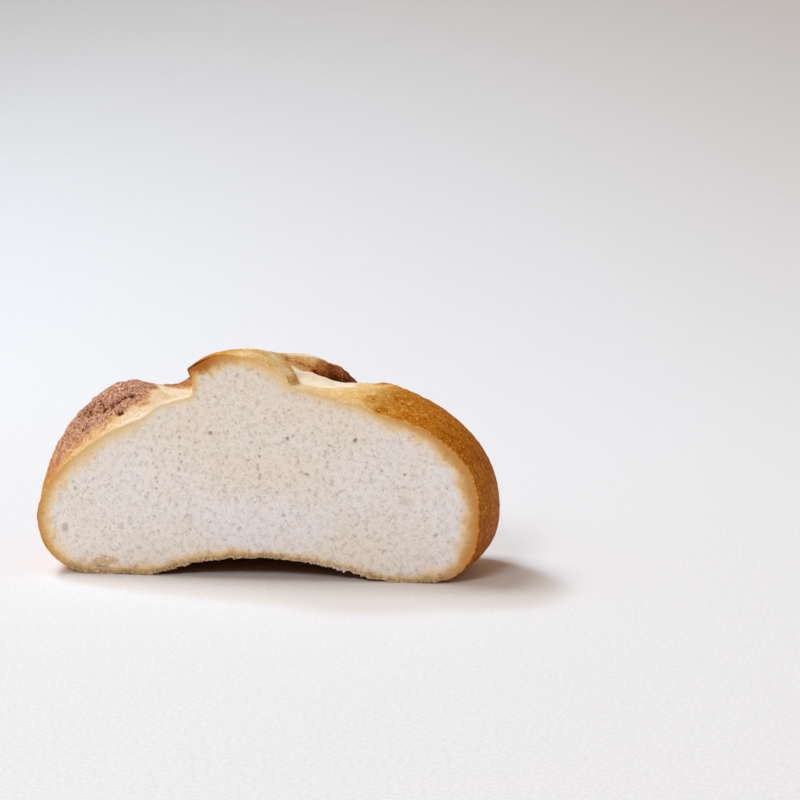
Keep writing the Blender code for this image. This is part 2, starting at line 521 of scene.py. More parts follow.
@dataclass(frozen=True)
class SkinSampler:
    """Lays a grid of points over the half that the cut leaves."""

    form: RollForm
    columns: int = 320
    gather: float = 0.35  # how much closer the columns stand near the cut
    rings: tuple[int, ...] = (26, 12, 108, 34, 20, 44)

    def ring(self, band: Band, share: float) -> tuple[Array, Array]:
        """One ring of points, from the cut on the +X side round to the cut on the -X side.

        Args:
            band: the band of the ring.
            share: how far along the band the ring lies.

        Returns:
            The points, and their directions.
        """
        even = np.linspace(0.0, 1.0, self.columns + 1)
        even = even - self.gather * np.sin(math.tau * even) / math.tau
        edge_share = 1.0 if band is Band.TOP else share
        theta = mix(*self.form.cut_span(band, edge_share), even)
        points = self.form.place(band, theta, np.full_like(theta, edge_share))
        if band is Band.TOP:
            middle = np.array(self.form.button_shift)
            pole = np.array([middle[0], 0.0])
            plan = mix(pole, points[:, :2], share)
            reach = plan - middle
            theta = np.arctan2(reach[:, 1], reach[:, 0])
            out = np.hypot(reach[:, 0], reach[:, 1]) / self.form.button_radius(theta)
            points = np.column_stack([plan, self.form.top_point(theta, out)[1]])
        points[[0, -1], 1] = 0.0
        return points, theta

    def sample(self) -> SkinGrid:
        """Samples the half's whole skin.

        Returns:
            The grid, from the button's top to the middle of the underside.
        """
        rows, directions, along = [], [], []
        for band, count in zip(Band, self.rings, strict=True):
            first = 0 if band is Band.TOP else 1
            for number in range(first, count + 1):
                points, theta = self.ring(band, number / count)
                rows.append(points)
                directions.append(theta)
                along.append(band.value + number / count)
        return SkinGrid(np.array(rows), np.array(directions), np.array(along))


@dataclass
class MeshDraft:
    """Gathers points, faces, a map and values at the points, and turns them into one object."""

    name: str

    def __post_init__(self) -> None:
        """Starts with nothing drawn."""
        self.points: list[Array] = []
        self.faces: list[tuple[int, ...]] = []
        self.map_points: list[Array] = []
        self.creased: list[Array] = []
        self.count = 0

    def add_points(self, points: Array) -> int:
        """Adds points.

        Args:
            points: places, with x, y and z last.

        Returns:
            The number of the first one.
        """
        first = self.count
        flat = points.reshape(-1, 3)
        self.points.append(flat)
        self.count += len(flat)
        return first

    def add_faces(self, faces: Array | Sequence[Sequence[int]], map_points: Array) -> None:
        """Adds faces, given by their points' numbers, with a place on the map for each corner in turn."""
        self.faces.extend(tuple(face) for face in np.asarray(faces).tolist())
        self.map_points.append(np.asarray(map_points, float).reshape(-1, 2))

    def add_sheet(self, numbers: Array, places: Array, inward: bool = False) -> None:
        """Adds the faces of a grid whose first and last rings are single points.

        Args:
            numbers: the numbers of its points, rings x columns.
            places: where they lie on the map.
            inward: whether the faces are turned round.
        """
        corners = CORNERS[::-1] if inward else CORNERS
        faces, spots = at_corners(numbers, corners, -1), at_corners(places, corners, -2)
        self.add_faces(faces[1:-1].reshape(-1, 4), spots[1:-1])
        for row, dropped in ((0, CORNERS[3]), (-1, CORNERS[2])):
            keep = [number for number, corner in enumerate(corners) if corner != dropped]
            self.add_faces(faces[row][:, keep], spots[row][:, keep])

    def crease(self, numbers: Array) -> None:
        """Keeps the edges between these points sharp."""
        self.creased.append(numbers.ravel())

    def sharpen(self, mesh: bpy.types.Mesh) -> None:
        """Marks the sharp edges in the mesh.

        Args:
            mesh: the mesh made of this draft.
        """
        chosen = np.zeros(self.count, bool)
        chosen[np.concatenate(self.creased)] = True
        ends = np.zeros(2 * len(mesh.edges), np.int32)
        mesh.edges.foreach_get("vertices", ends)
        mesh.edges.foreach_set("use_edge_sharp", chosen[ends.reshape(-1, 2)].all(axis=1))

    def finish(
        self, values: dict[str, Array], material: bpy.types.Material, origin: Vector
    ) -> bpy.types.Object:
        """Makes the object.

        Args:
            values: named values, one for each point.
            material: its finish.
            origin: where the points' own origin lies in the scene.

        Returns:
            The object, in the scene.
        """
        mesh = bpy.data.meshes.new(self.name)
        mesh.from_pydata(np.concatenate(self.points).tolist(), [], self.faces)
        mesh.polygons.foreach_set("use_smooth", np.ones(len(self.faces), bool))
        layer = mesh.uv_layers.new(name="OFBake")
        layer.data.foreach_set("uv", np.concatenate(self.map_points).astype(np.float32).ravel())
        for name, value in values.items():
            attribute = mesh.attributes.new(name, "FLOAT", "POINT")
            attribute.data.foreach_set("value", value.astype(np.float32).ravel())
        mesh.materials.append(material)
        if self.creased:
            self.sharpen(mesh)
        mesh.update()
        mesh.transform(Matrix.Translation(origin))
        piece = bpy.data.objects.new(self.name, mesh)
        bpy.context.scene.collection.objects.link(piece)
        return piece


@dataclass(frozen=True)
class GridSheet:
    """Turns a skin grid into points and faces: both poles are single points and the rest are quads."""

    grid: SkinGrid
    map_low: Pair
    map_high: Pair
    inward: bool = False  # faces turned towards the inside

    def numbers(self, first: int) -> Array:
        """The number of each grid point in the mesh.

        Args:
            first: the number of the sheet's first point.

        Returns:
            Rings x columns numbers; a pole has the same number in every column.
        """
        rings, columns = self.grid.theta.shape
        numbers = np.zeros((rings, columns), int)
        numbers[1:-1] = 1 + np.arange((rings - 2) * columns).reshape(rings - 2, columns)
        numbers[-1] = 1 + (rings - 2) * columns
        return numbers + first

    def unrolled(self, values: Array) -> Array:
        """Values at the grid points, in the order of the mesh's points."""
        rings, columns = self.grid.theta.shape
        middle = values[1:-1].reshape((rings - 2) * columns, *values.shape[2:])
        return np.concatenate([values[0, :1], middle, values[-1, :1]])

    def draw(self, draft: MeshDraft) -> Array:
        """Adds the sheet to a mesh.

        Args:
            draft: the mesh.

        Returns:
            The numbers of its grid points.
        """
        numbers = self.numbers(draft.add_points(self.unrolled(self.grid.points)))
        rings, columns = numbers.shape
        draft.add_sheet(numbers, map_places(columns, rings, self.map_low, self.map_high), self.inward)
        return numbers


@dataclass(frozen=True)
class Wire:
    """One output of a material's nodes. Arithmetic on it adds Math nodes."""

    nodes: "NodeBoard"
    socket: bpy.types.NodeSocket

    def maths(self, operation: str, *values: "Wire | float") -> "Wire":
        """The output of a Math node on these values."""
        return self.nodes.node("ShaderNodeMath", {"operation": operation}, dict(enumerate(values)))

    def __add__(self, other: "Wire | float") -> "Wire":
        """This plus other."""
        return self.maths("ADD", self, other)

    def __radd__(self, other: float) -> "Wire":
        """Other plus this."""
        return self.maths("ADD", other, self)

    def __sub__(self, other: "Wire | float") -> "Wire":
        """This minus other."""
        return self.maths("SUBTRACT", self, other)

    def __rsub__(self, other: float) -> "Wire":
        """Other minus this."""
        return self.maths("SUBTRACT", other, self)

    def __mul__(self, other: "Wire | float") -> "Wire":
        """This times other."""
        return self.maths("MULTIPLY", self, other)

    def __rmul__(self, other: float) -> "Wire":
        """Other times this."""
        return self.maths("MULTIPLY", other, self)

    def step(self, low: float, high: float) -> "Wire":
        """0 below low and 1 above high, with a smooth turn between."""
        inputs = {"Value": self, "From Min": low, "From Max": high, "To Min": 0.0, "To Max": 1.0}
        return self.nodes.node("ShaderNodeMapRange", {"interpolation_type": "SMOOTHSTEP"}, inputs)


class NodeBoard:
    """The nodes of one material round its main shader."""

    def __init__(self, name: str, constants: dict[str, float | Sequence[float]]) -> None:
        """Starts a material.

        Args:
            name: the material's name.
            constants: values for the main shader's own sockets.
        """
        self.material = bpy.data.materials.new(name)
        self.material.use_nodes = True
        self.tree = self.material.node_tree
        self.shader = self.tree.nodes["Principled BSDF"]
        for socket, value in constants.items():
            self.shader.inputs[socket].default_value = value

    def node(
        self,
        kind: str,
        settings: dict[str, object] | None = None,
        inputs: dict[str | int, object] | None = None,
        output: str | int = 0,
    ) -> Wire:
        """Adds one node.

        Args:
            kind: the node's type.
            settings: its settings, set before its sockets.
            inputs: values or wires for its sockets, by name or number.
            output: which output is used.

        Returns:
            That output.
        """
        made = self.tree.nodes.new(kind)
        for name, value in (settings or {}).items():
            setattr(made, name, value)
        for name, value in (inputs or {}).items():
            self.feed(made.inputs[name], value)
        return Wire(self, made.outputs[output])

    def ramp(self, share: Wire, places: Sequence[float], colours: Sequence[Colour]) -> Wire:
        """The colour at share on a ramp.

        Args:
            share: place on the ramp, from 0 to 1.
            places: places of its stops, in order.
            colours: their colours.

        Returns:
            The colour.
        """
        made = self.node("ShaderNodeValToRGB", inputs={"Fac": share})
        stops = made.socket.node.color_ramp.elements
        while len(stops) < len(places):
            stops.new(0.5)
        for stop, place, colour in zip(stops, places, colours, strict=True):
            stop.position = place
            stop.color = (*colour, 1.0)
        return made

    def feed(self, socket: bpy.types.NodeSocket, value: object) -> None:
        """Links a wire to a socket, or sets its value.

        Args:
            socket: the socket.
            value: a wire, a number or a colour.
        """
        if isinstance(value, Wire):
            self.tree.links.new(value.socket, socket)
        elif isinstance(value, tuple) and len(value) == 3 and socket.type == "RGBA":
            socket.default_value = (*value, 1.0)
        else:
            socket.default_value = value

    def value(self, name: str) -> Wire:
        """The mesh's own value of that name."""
        return self.node("ShaderNodeAttribute", {"attribute_name": name}, output="Fac")

    def noise(self, size: float, detail: float) -> Wire:
        """Noise from 0 to 1 through the piece, of that size in metres and with detail finer layers."""
        inputs = {"Vector": self.node("ShaderNodeTexCoord", output="Object"), "Scale": 1.0 / size}
        return self.node("ShaderNodeTexNoise", inputs=inputs | {"Detail": detail, "Roughness": 0.6})

    def spots(self, size: float) -> Wire:
        """Distance to the nearest of many scattered spots, in shares of size, through the piece."""
        inputs = {"Vector": self.node("ShaderNodeTexCoord", output="Object"), "Scale": 1.0 / size}
        return self.node("ShaderNodeTexVoronoi", {"feature": "F1"}, inputs, "Distance")

    def blend(self, share: Wire, first: object, second: object) -> Wire:
        """The colour that lies share of the way from first to second, each a colour or a wire."""
        return self.node("ShaderNodeMix", {"data_type": "RGBA"}, {0: share, 6: first, 7: second}, 2)

    def dress(self, colour: Wire, roughness: Wire, height: Wire, depth: float, strength: float) -> None:
        """Joins colour, roughness and bump to the main shader.

        Args:
            colour: its colour.
            roughness: its roughness.
            height: the bump's height, from 0 to 1.
            depth: what a height of 1 measures, in metres.
            strength: how strongly the bump shows.
        """
        inputs = {"Height": height, "Distance": depth, "Strength": strength}
        bump = self.node("ShaderNodeBump", inputs=inputs, output="Normal")
        self.feed(self.shader.inputs["Base Color"], colour)
        self.feed(self.shader.inputs["Roughness"], roughness)
        self.feed(self.shader.inputs["Normal"], bump)


@dataclass(frozen=True)
class CrustFinish:
    """Baked crust: pale to dark brown by the value bake, redder and duller with painted sheen by another."""

    places: tuple[float, ...] = (0.02, 0.22, 0.42, 0.60, 0.80, 1.00)
    amber: tuple[Colour, ...] = (
        paint(253, 240, 218),
        paint(240, 202, 136),
        paint(226, 166, 76),
        paint(204, 122, 24),
        paint(168, 88, 6),
        paint(98, 44, 6),
    )
    # Reddish, duller browns: partly the crust's own colour, partly painted sheen.
    rosy: tuple[Colour, ...] = (
        paint(253, 240, 220),
        paint(242, 208, 164),
        paint(226, 184, 154),
        paint(206, 154, 126),
        paint(168, 108, 82),
        paint(90, 46, 28),
    )
    sheen: Colour = (1.0, 0.84, 0.66)
    specular: float = 0.03
    blotch_size: float = 0.0080
    blotch_shade: float = 0.22
    mottle_size: float = 0.0018
    mottle_shade: float = 0.45
    grain_size: float = 0.00055
    grain_shade: Pair = (0.80, 0.75)  # on amber crust, and what rosy crust adds
    # Light specks over the crust: partly its own blisters, partly painted glints.
    glint_freckle_size: float = 0.0013
    glint_freckle_span: Pair = (0.08, 0.30)
    glint_freckle_lift: float = 0.26
    speckle_gain: Pair = (0.35, 1.1)  # on pale crust, and what darker crust adds
    roughness: Triple = (0.66, 0.16, 0.20)  # plain, what baking takes, and the grain's part
    bump_parts: Pair = (0.45, 0.55)  # of mottle and grain
    bump_depth: float = 0.0004
    bump_strength: float = 0.55

    def material(self) -> bpy.types.Material:
        """Makes the finish.

        Returns:
            Its material.
        """
        constants = {"Specular IOR Level": self.specular, "Specular Tint": (*self.sheen, 1.0)}
        board = NodeBoard("baked_crust", constants)
        blotches = board.noise(self.blotch_size, 4.0)
        mottle = board.noise(self.mottle_size, 3.0)
        grain = board.noise(self.grain_size, 3.0)
        # Lighter specks, partly painted glints.
        glint_freckles = 1.0 - board.spots(self.glint_freckle_size).step(*self.glint_freckle_span)
        rosy = board.value("rosy")
        bake = board.value("bake")
        plain, added = self.grain_shade
        speckle = self.mottle_shade * (mottle - 0.5) + (plain + added * rosy) * (grain - 0.5)
        speckle = speckle - self.glint_freckle_lift * glint_freckles
        pale, darker = self.speckle_gain
        bake = bake + self.blotch_shade * (blotches - 0.5) + speckle * (pale + darker * bake)
        # The second ramp is partly the crust's reddish colour, partly painted sheen.
        amber, rosy_sheened = (board.ramp(bake, self.places, colours) for colours in (self.amber, self.rosy))
        colour = board.blend(rosy, amber, rosy_sheened)
        plain, darker, uneven = self.roughness
        roughness = plain - darker * bake + uneven * (grain - 0.5)
        height = self.bump_parts[0] * mottle + self.bump_parts[1] * grain
        board.dress(colour, roughness, height, self.bump_depth, self.bump_strength)
        return board.material


@dataclass(frozen=True)
class CrumbFinish:
    """Soft pale crumb, golden towards the crust, by the mesh's values toast, deep, tan, pore and tone."""

    name: str = "soft_crumb"
    cream: Colour = paint(249, 240, 229)
    cool: Colour = paint(251, 247, 249)
    warm: Colour = paint(246, 232, 216)
    # Painted shade of the pores and cells; also the darker colour of the scab and of dark loose crumbs.
    pore_shade_and_scab: Colour = paint(164, 140, 116)
    straw: Colour = paint(248, 213, 148)
    ochre: Colour = paint(244, 198, 122)
    amber: Colour = paint(186, 106, 28)
    bran: Colour = paint(208, 174, 130)
    cloud_size: float = 0.0055
    bubble_size: float = 0.00085
    fibre_size: float = 0.0014
    grain_size: float = 0.00045
    grain_part: float = 1.1  # of the noise that makes the toasted edge uneven
    uneven: float = 0.4
    uneven_span: Pair = (0.02, 0.4)
    warm_span: Pair = (0.0, 0.30)
    warm_share: float = 0.4
    baked_span: Pair = (0.22, 0.82)  # of the toast, from straw to baked
    toast_span: Pair = (-0.06, 0.60)  # of the toast, from crumb to straw
    grain_cells: Pair = (0.57, 0.42)  # level of the noise where cells begin, and over how much they deepen
    fibre_cells: Pair = (0.56, 0.36)
    cell_share: float = 0.60
    pore_share: float = 1.12
    edge_calm: float = 0.5
    # How far pores and cells blend towards that painted shade.
    painted_pit_shade: float = 0.62
    roughness: Pair = (0.92, 0.12)  # plain, and what toasting takes
    bump_parts: Triple = (0.30, 0.40, 0.30)  # of bubbles, fibre and grain
    bump_depth: float = 0.0004
    bump_strength: float = 0.40

    def material(self) -> bpy.types.Material:
        """Makes the finish.

        Returns:
            Its material.
        """
        constants = {
            "Specular IOR Level": 0.15,
            "Subsurface Weight": 0.25,
            "Subsurface Radius": (1.0, 0.72, 0.5),
            "Subsurface Scale": 0.0008,
        }
        board = NodeBoard(self.name, constants)
        clouds = board.noise(self.cloud_size, 3.0)
        bubbles = board.spots(self.bubble_size)
        fibre = board.noise(self.fibre_size, 4.0)
        grain = board.noise(self.grain_size, 2.0)
        edge = board.value("toast")
        rough = (fibre - 0.5) + self.grain_part * (grain - 0.5)
        toast = edge + self.uneven * rough * edge.step(*self.uneven_span)
        body = board.blend(board.value("tone").step(0.0, 1.0), self.cool, self.cream)
        body = board.blend((clouds - 0.5).step(*self.warm_span) * self.warm_share, body, self.warm)
        baked = board.blend(board.value("deep"), self.ochre, self.amber)
        baked = board.blend(board.value("tan"), baked, self.bran)
        baked = board.blend(toast.step(*self.baked_span), self.straw, baked)
        colour = board.blend(toast.step(*self.toast_span), body, baked)
        # Pores and crumb cells get painted shade, darker where they lie deeper.
        cells = self.cells(grain, *self.grain_cells) + self.cells(fibre, *self.fibre_cells)
        pits = board.value("pore") * self.pore_share + cells * (1.0 - self.edge_calm * edge)
        colour = board.blend(pits * self.painted_pit_shade, colour, self.pore_shade_and_scab)
        roughness = self.roughness[0] - self.roughness[1] * edge
        first, second, third = self.bump_parts
        height = first * bubbles + second * fibre + third * grain
        board.dress(colour, roughness, height, self.bump_depth, self.bump_strength)
        return board.material

    def cells(self, noise: Wire, level: float, span: float) -> Wire:
        """How much painted shade the cells get where the noise falls below level, deepening over span."""
        return (level - noise).step(0.0, span) * self.cell_share


@dataclass(frozen=True)
class FloorFinish:
    """Plain pale matt floor with a faint grain."""

    colour: Colour = paint(246, 246, 249)
    darker: Colour = paint(238, 238, 241)
    grain_size: float = 0.0009

    def material(self) -> bpy.types.Material:
        """Makes the finish.

        Returns:
            Its material.
        """
        board = NodeBoard("pale_floor", {"Specular IOR Level": 0.1, "Roughness": 0.9})
        grain = board.noise(self.grain_size, 2.0).step(0.35, 0.65)
        board.feed(board.shader.inputs["Base Color"], board.blend(grain, self.darker, self.colour))
        return board.material


@dataclass(frozen=True)
class CutEdge:
    """How one side of the cut's edge looks at places along the meridian, and evenly between them."""

    along: tuple[float, ...]
    bake: tuple[float, ...]  # how dark the crust's edge is
    width: tuple[float, ...]  # how far the toasted colour reaches into the crumb, in millimetres
    deep: tuple[float, ...]  # 0 where that colour is pale gold, 1 where it is orange brown

    def at(self, name: str, along: Array) -> Array:
        """One of its looks, bake, width or deep, at places along the meridian."""
        return np.interp(along, self.along, getattr(self, name))


RIGHT_EDGE = CutEdge(
    along=(0.0, 0.6, 1.0, 1.5, 2.0, 2.1, 2.2, 2.35, 2.6, 3.0, 3.5, 4.0, 4.4, 6.0),
    bake=(0.30, 0.22, 0.20, 0.24, 0.20, 0.16, 0.28, 0.46, 0.60, 0.62, 0.58, 0.48, 0.36, 0.32),
    width=(3.6, 3.8, 3.6, 3.4, 3.0, 2.8, 3.2, 4.6, 5.6, 6.0, 5.0, 2.8, 2.0, 1.8),
    deep=(0.34, 0.20, 0.12, 0.10, 0.08, 0.08, 0.26, 0.50, 0.60, 0.64, 0.58, 0.40, 0.24, 0.24),
)
LEFT_EDGE = CutEdge(
    along=(0.0, 0.4, 0.6, 0.75, 1.0, 1.3, 1.8, 2.0, 2.2, 2.3, 2.5, 2.7, 3.0, 3.5, 4.0, 6.0),
    bake=(0.34, 0.50, 0.76, 0.94, 0.90, 0.46, 0.14, 0.05, 0.03, 0.08, 0.18, 0.36, 0.46, 0.50, 0.42, 0.32),
    width=(4.0, 4.6, 5.0, 5.0, 4.2, 2.8, 2.0, 1.8, 2.4, 4.2, 4.4, 4.4, 4.8, 4.4, 3.0, 2.2),
    deep=(0.40, 0.60, 0.85, 1.00, 0.90, 0.25, 0.05, 0.00, 0.02, 0.12, 0.20, 0.34, 0.48, 0.46, 0.42, 0.38),
)


@dataclass(frozen=True)
class Pit:
    """One pit in the crust: where it lies, half its length and width, and its depth."""

    theta: float  # direction round the roll, in degrees
    along: float
    length: float  # down the meridian
    width: float
    depth: float


@dataclass(frozen=True)
class Patch:
    """One place on the crust, with soft edges: its middle, its reach either way, and what it changes."""

    theta: float  # direction round the roll, in degrees
    along: float
    theta_reach: float
    along_reach: float
    change: float
    flat: float = 0.35  # share of the reach over which it is at its full strength

    def share(self, theta: Array, along: Array) -> Array:
        """1 in the middle of the patch and 0 outside it.

        Args:
            theta: directions round the roll.
            along: places along the meridian.

        Returns:
            The share, one for each place.
        """
        sideways = np.degrees(angle_between(theta, math.radians(self.theta))) / self.theta_reach
        down = np.abs(along - self.along) / self.along_reach
        return 1.0 - smoothstep(self.flat, 1.0, np.hypot(sideways, down))

    def effect(self, theta: Array, along: Array) -> Array:
        """What the patch changes at these directions and places along the meridian."""
        return self.share(theta, along) * self.change


def changes(patches: Sequence[Patch], theta: Array, along: Array) -> Array:
    """What these patches change together at directions and places along the meridian."""
    return sum(patch.effect(theta, along) for patch in patches)


@dataclass
class Crust:
    """The roll's crust: a closed shell, thinnest along the cut, with wrinkles, pits and a torn place."""

    grid: SkinGrid
    finish: CrustFinish
    edges: tuple[CutEdge, CutEdge] = (RIGHT_EDGE, LEFT_EDGE)
    right_side: Pair = (0.70, 0.93)  # cosines of the directions between which the +X side begins
    crest_rise: Pair = (math.radians(24), math.radians(36))  # profile angles over which crests begin
    edge_thickness: float = 0.00036
    inner_thickness: float = 0.0012
    thicken_over: float = 0.006  # distance from the cut over which it reaches its full thickness
    inner_step: int = 8  # columns of the skin for one column of the inner surface
    wave: SolidNoise = SolidNoise(11, 0.013, 2, 0.00035)
    wrinkle: SolidNoise = SolidNoise(12, 0.0028, 2)
    wrinkle_height: float = 0.00032
    wrinkle_level: float = 0.3
    wrinkle_shares: Pair = (0.15, 0.85)  # everywhere, and what the crests add
    wrinkle_squash: Triple = (1.0, 1.0, 1.6)
    grain: SolidNoise = SolidNoise(13, 0.0012, 2, 0.00012)
    dents: SolidNoise = SolidNoise(14, 0.0021, 2)
    dent_depth: float = 0.0005
    dent_level: float = 0.34  # of the noise, where a dent begins
    dent_span: float = 0.30
    dent_margin: float = 0.0025  # distance from the cut over which dents begin
    # Dents get painted shade, at this share of a pit's.
    painted_dent_shade: float = 0.5
    right_calm: float = 0.8  # how much smoother the +X side is
    top_end: Pair = (3.0, 3.6)  # places along the meridian between which the top's relief ends
    ragged: SolidNoise = SolidNoise(15, 0.0018)
    ragged_depth: float = 0.0010
    ragged_reach: float = 0.0020
    ragged_start: Pair = (3.60, 3.95)
    pit_edge: SolidNoise = SolidNoise(16, 0.0012, 2, 0.3)
    pit_span: Pair = (0.45, 1.15)  # in a pit's own sizes, from full depth to none
    pits: tuple[Pit, ...] = (
        Pit(169.9, 2.245, 0.0009, 0.0006, 0.0012),
        Pit(170.3, 2.272, 0.0008, 0.0004, 0.0010),
        Pit(170.8, 2.300, 0.0010, 0.0005, 0.0012),
        Pit(171.0, 2.332, 0.0010, 0.0005, 0.0012),
        Pit(171.1, 2.368, 0.0009, 0.0007, 0.0012),
        Pit(173.7, 2.312, 0.0010, 0.0007, 0.0013),
        Pit(172.9, 2.350, 0.0005, 0.0004, 0.0008),
        Pit(170.2, 2.455, 0.0008, 0.0005, 0.0010),
        Pit(168.2, 2.420, 0.0005, 0.0004, 0.0007),
        Pit(169.0, 2.380, 0.0004, 0.0003, 0.0006),
    )
    relief_changes: tuple[Patch, ...] = (
        Patch(149.0, 2.25, 6.0, 0.05, -0.0007),
        Patch(34.0, 2.13, 22.0, 0.10, -0.0014),
        Patch(62.0, 2.31, 16.0, 0.16, 0.0007),
    )
    torn: Patch = Patch(30.0, 2.045, 26.0, 0.075, -0.62)
    torn_relief: SolidNoise = SolidNoise(17, 0.0022, 3, 0.0005)
    torn_shade: SolidNoise = SolidNoise(27, 0.0030, 3, 1.2)
    far_ridge: Patch = Patch(64.0, 2.04, 17.0, 0.36, 0.62)
    streak: SolidNoise = SolidNoise(19, 0.0014)
    streak_run: Pair = (0.020, 0.004)  # how fast streaks change round the roll and down it
    streak_height: float = 0.0003
    streak_shade: float = 0.95
    bake_changes: tuple[Patch, ...] = (
        Patch(143.0, 2.14, 14.0, 0.075, -0.80),
        Patch(151.5, 2.168, 7.0, 0.050, -0.80),
        Patch(58.0, 2.04, 12.0, 0.06, -0.20),
        Patch(65.0, 2.22, 14.0, 0.12, 0.26),
        Patch(61.0, 2.13, 13.0, 0.085, 0.82),
        Patch(150.0, 0.75, 50.0, 0.50, 0.20),
        Patch(6.0, 2.175, 5.0, 0.030, 0.16),
        Patch(2.0, 2.235, 5.0, 0.025, 0.12),
    )
    lip_side: Pair = (-0.75, -0.1)  # cosines of the directions between which the lip's side ends
    lip_rim: Pair = (0.50, 0.95)  # places along the meridian over which the button's rim begins
    button_bake: Pair = (0.27, 0.46)  # on the soft side and on the lip's side
    rim_bake: Pair = (-0.04, 0.50)  # what the rim adds on either side
    button_shade: SolidNoise = SolidNoise(26, 0.0045, 3, 0.24)
    lip_flank: Curve = ((1.0, 1.3, 2.0), (0.70, 0.42, 0.12))
    soft_flank: Curve = ((1.0, 1.6, 2.0), (0.26, 0.34, 0.10))
    groove_bake: Curve = ((2.0, 2.3, 2.5, 2.8, 3.2, 4.0), (0.08, 0.15, 0.36, 0.56, 0.56, 0.46))
    # The hollow's dark bake is partly the browned underside, partly painted shade under the arch.
    under_bake_and_shade: Curve = ((4.0, 4.8, 5.0, 6.0), (0.46, 0.46, 0.90, 0.90))
    near_bake: Curve = (
        (2.00, 2.10, 2.16, 2.19, 2.24, 2.30, 2.50, 2.80, 3.20, 3.60, 4.00),
        (0.12, 0.22, 0.27, 0.33, 0.52, 0.60, 0.65, 0.68, 0.75, 0.76, 0.58),
    )  # how dark the +X side is
    cap_bake: Curve = ((0, 50, 70, 120, 150, 180), (0.74, 0.78, 0.82, 0.74, 0.64, 0.62))  # round the roll
    cap_fade: Curve = ((2.0, 2.12, 2.3, 2.7, 3.0, 3.5, 4.0), (0.86, 1.06, 1.06, 0.98, 0.90, 0.84, 0.66))
    left_cap: Pair = (2.30, 2.55)  # directions between which the -X petal's border takes over
    left_border: Curve = (
        (2.162, 2.175, 2.188, 2.21, 2.24, 2.28, 2.32, 2.39, 2.46)
        + (2.55, 2.61, 2.66, 2.71, 2.78, 2.90, 3.10, 3.40, 3.70),
        (1.30, 0.74, 0.40, 0.33, 0.29, 0.27, 0.24, 0.20, 0.20)
        + (0.22, 0.18, 0.11, 0.13, 0.30, 0.48, 0.66, 0.88, 1.30),
    )  # the crest share at which the browned cap of the -X petal begins, by place along the meridian
    far_border: Curve = (
        (2.06, 2.13, 2.20, 2.30, 2.50, 2.80, 3.05, 3.30, 3.60),
        (0.90, 0.50, 0.30, 0.22, 0.22, 0.34, 0.60, 0.90, 1.50),
    )  # the same on the other petals
    border_noise: tuple[SolidNoise, SolidNoise] = (
        SolidNoise(18, 0.0035, 2, 0.10),
        SolidNoise(20, 0.001, 2, 0.16),
    )
    far_noise: SolidNoise = SolidNoise(28, 0.0090, 3, 0.25)
    border_span: Pair = (-0.10, 0.14)  # crest shares about the limit over which a cap begins
    far_softness: float = 2.8  # how much softer that is on the other petals
    # Reddish, duller crust: partly its own colour, partly painted sheen, strongest towards -X.
    rosy_start: Pair = (1.9, 2.1)  # places along the meridian over which rosy brown begins on the caps
    rosy_fade: Pair = (2.5, 2.95)  # and over which it fades
    rosy_loss: float = 0.9
    rosy_turn: Pair = (2.42, 2.84)  # directions between which it gains its strength towards -X
    rosy_least: float = 0.3
    rosy_ground: float = 0.45  # how rosy the ground between the caps is
    ground_start: Pair = (1.5, 2.0)
    ground_fade: Pair = (2.6, 3.0)
    rosy_ridge: float = 0.3
    rosy_edge: Pair = (3.4, 4.0)  # where the crust's edge on the cut turns rosy
    # How much darker pits and dents are baked: painted shade.
    painted_pit_shade: float = 0.55
    palest: float = 0.02
    rim_width: float = 0.008  # of each strip along the cut, on the map

    def right_share(self) -> Array:
        """1 on the +X side of the roll and 0 elsewhere, at each grid point."""
        return smoothstep(*self.right_side, np.cos(self.grid.theta))

    def streaks(self) -> Array:
        """Noise from -1 to 1 that runs in streaks down the meridians, at each grid point."""
        theta, (round_, down) = self.grid.theta, self.streak_run
        return self.streak.at(np.stack([theta * round_, self.grid.places() * down, 0.0 * theta], axis=-1))

    def crest_share(self, form: RollForm) -> Array:
        """How far each grid point lies on a petal's crest.

        Args:
            form: the roll's form.

        Returns:
            1 on the crests of the petals and 0 in the grooves, on the button and below.
        """
        share = np.zeros_like(self.grid.theta)
        for row, along in enumerate(self.grid.along):
            if Band.CROWN.value < along <= Band.CROWN.value + 1:
                alpha = mix(form.foot_angle, math.pi / 2, along - Band.CROWN.value)
                share[row] = form.petal_share(self.grid.theta[row], np.full_like(share[row], alpha))
                share[row] *= smoothstep(*self.crest_rise, alpha)
            elif Band.SIDE.value < along <= Band.SIDE.value + 1:
                edge = np.full_like(share[row], math.pi / 2)
                share[row] = form.petal_share(self.grid.theta[row], edge)
        return share

    def pit_share(self) -> tuple[Array, Array]:
        """The named pits.

        Returns:
            How far each grid point lies in a pit, and how deep it is there.
        """
        points, normals = self.grid.points, self.grid.normals()
        share, depth = np.zeros_like(self.grid.theta), np.zeros_like(self.grid.theta)
        uneven = self.pit_edge.at(points)
        for pit in self.pits:
            row = int(np.argmin(np.abs(self.grid.along - pit.along)))
            column = int(np.argmin(angle_between(self.grid.theta[row], math.radians(pit.theta))))
            down = points[row + 1, column] - points[row - 1, column]
            down = down / np.linalg.norm(down)
            sideways = np.cross(normals[row, column], down)
            reach = points - points[row, column]
            away = np.hypot(reach @ down / pit.length, reach @ sideways / pit.width) + uneven
            within = 1.0 - smoothstep(*self.pit_span, away)
            share = np.maximum(share, within)
            depth = np.maximum(depth, within * pit.depth)
        return share, depth

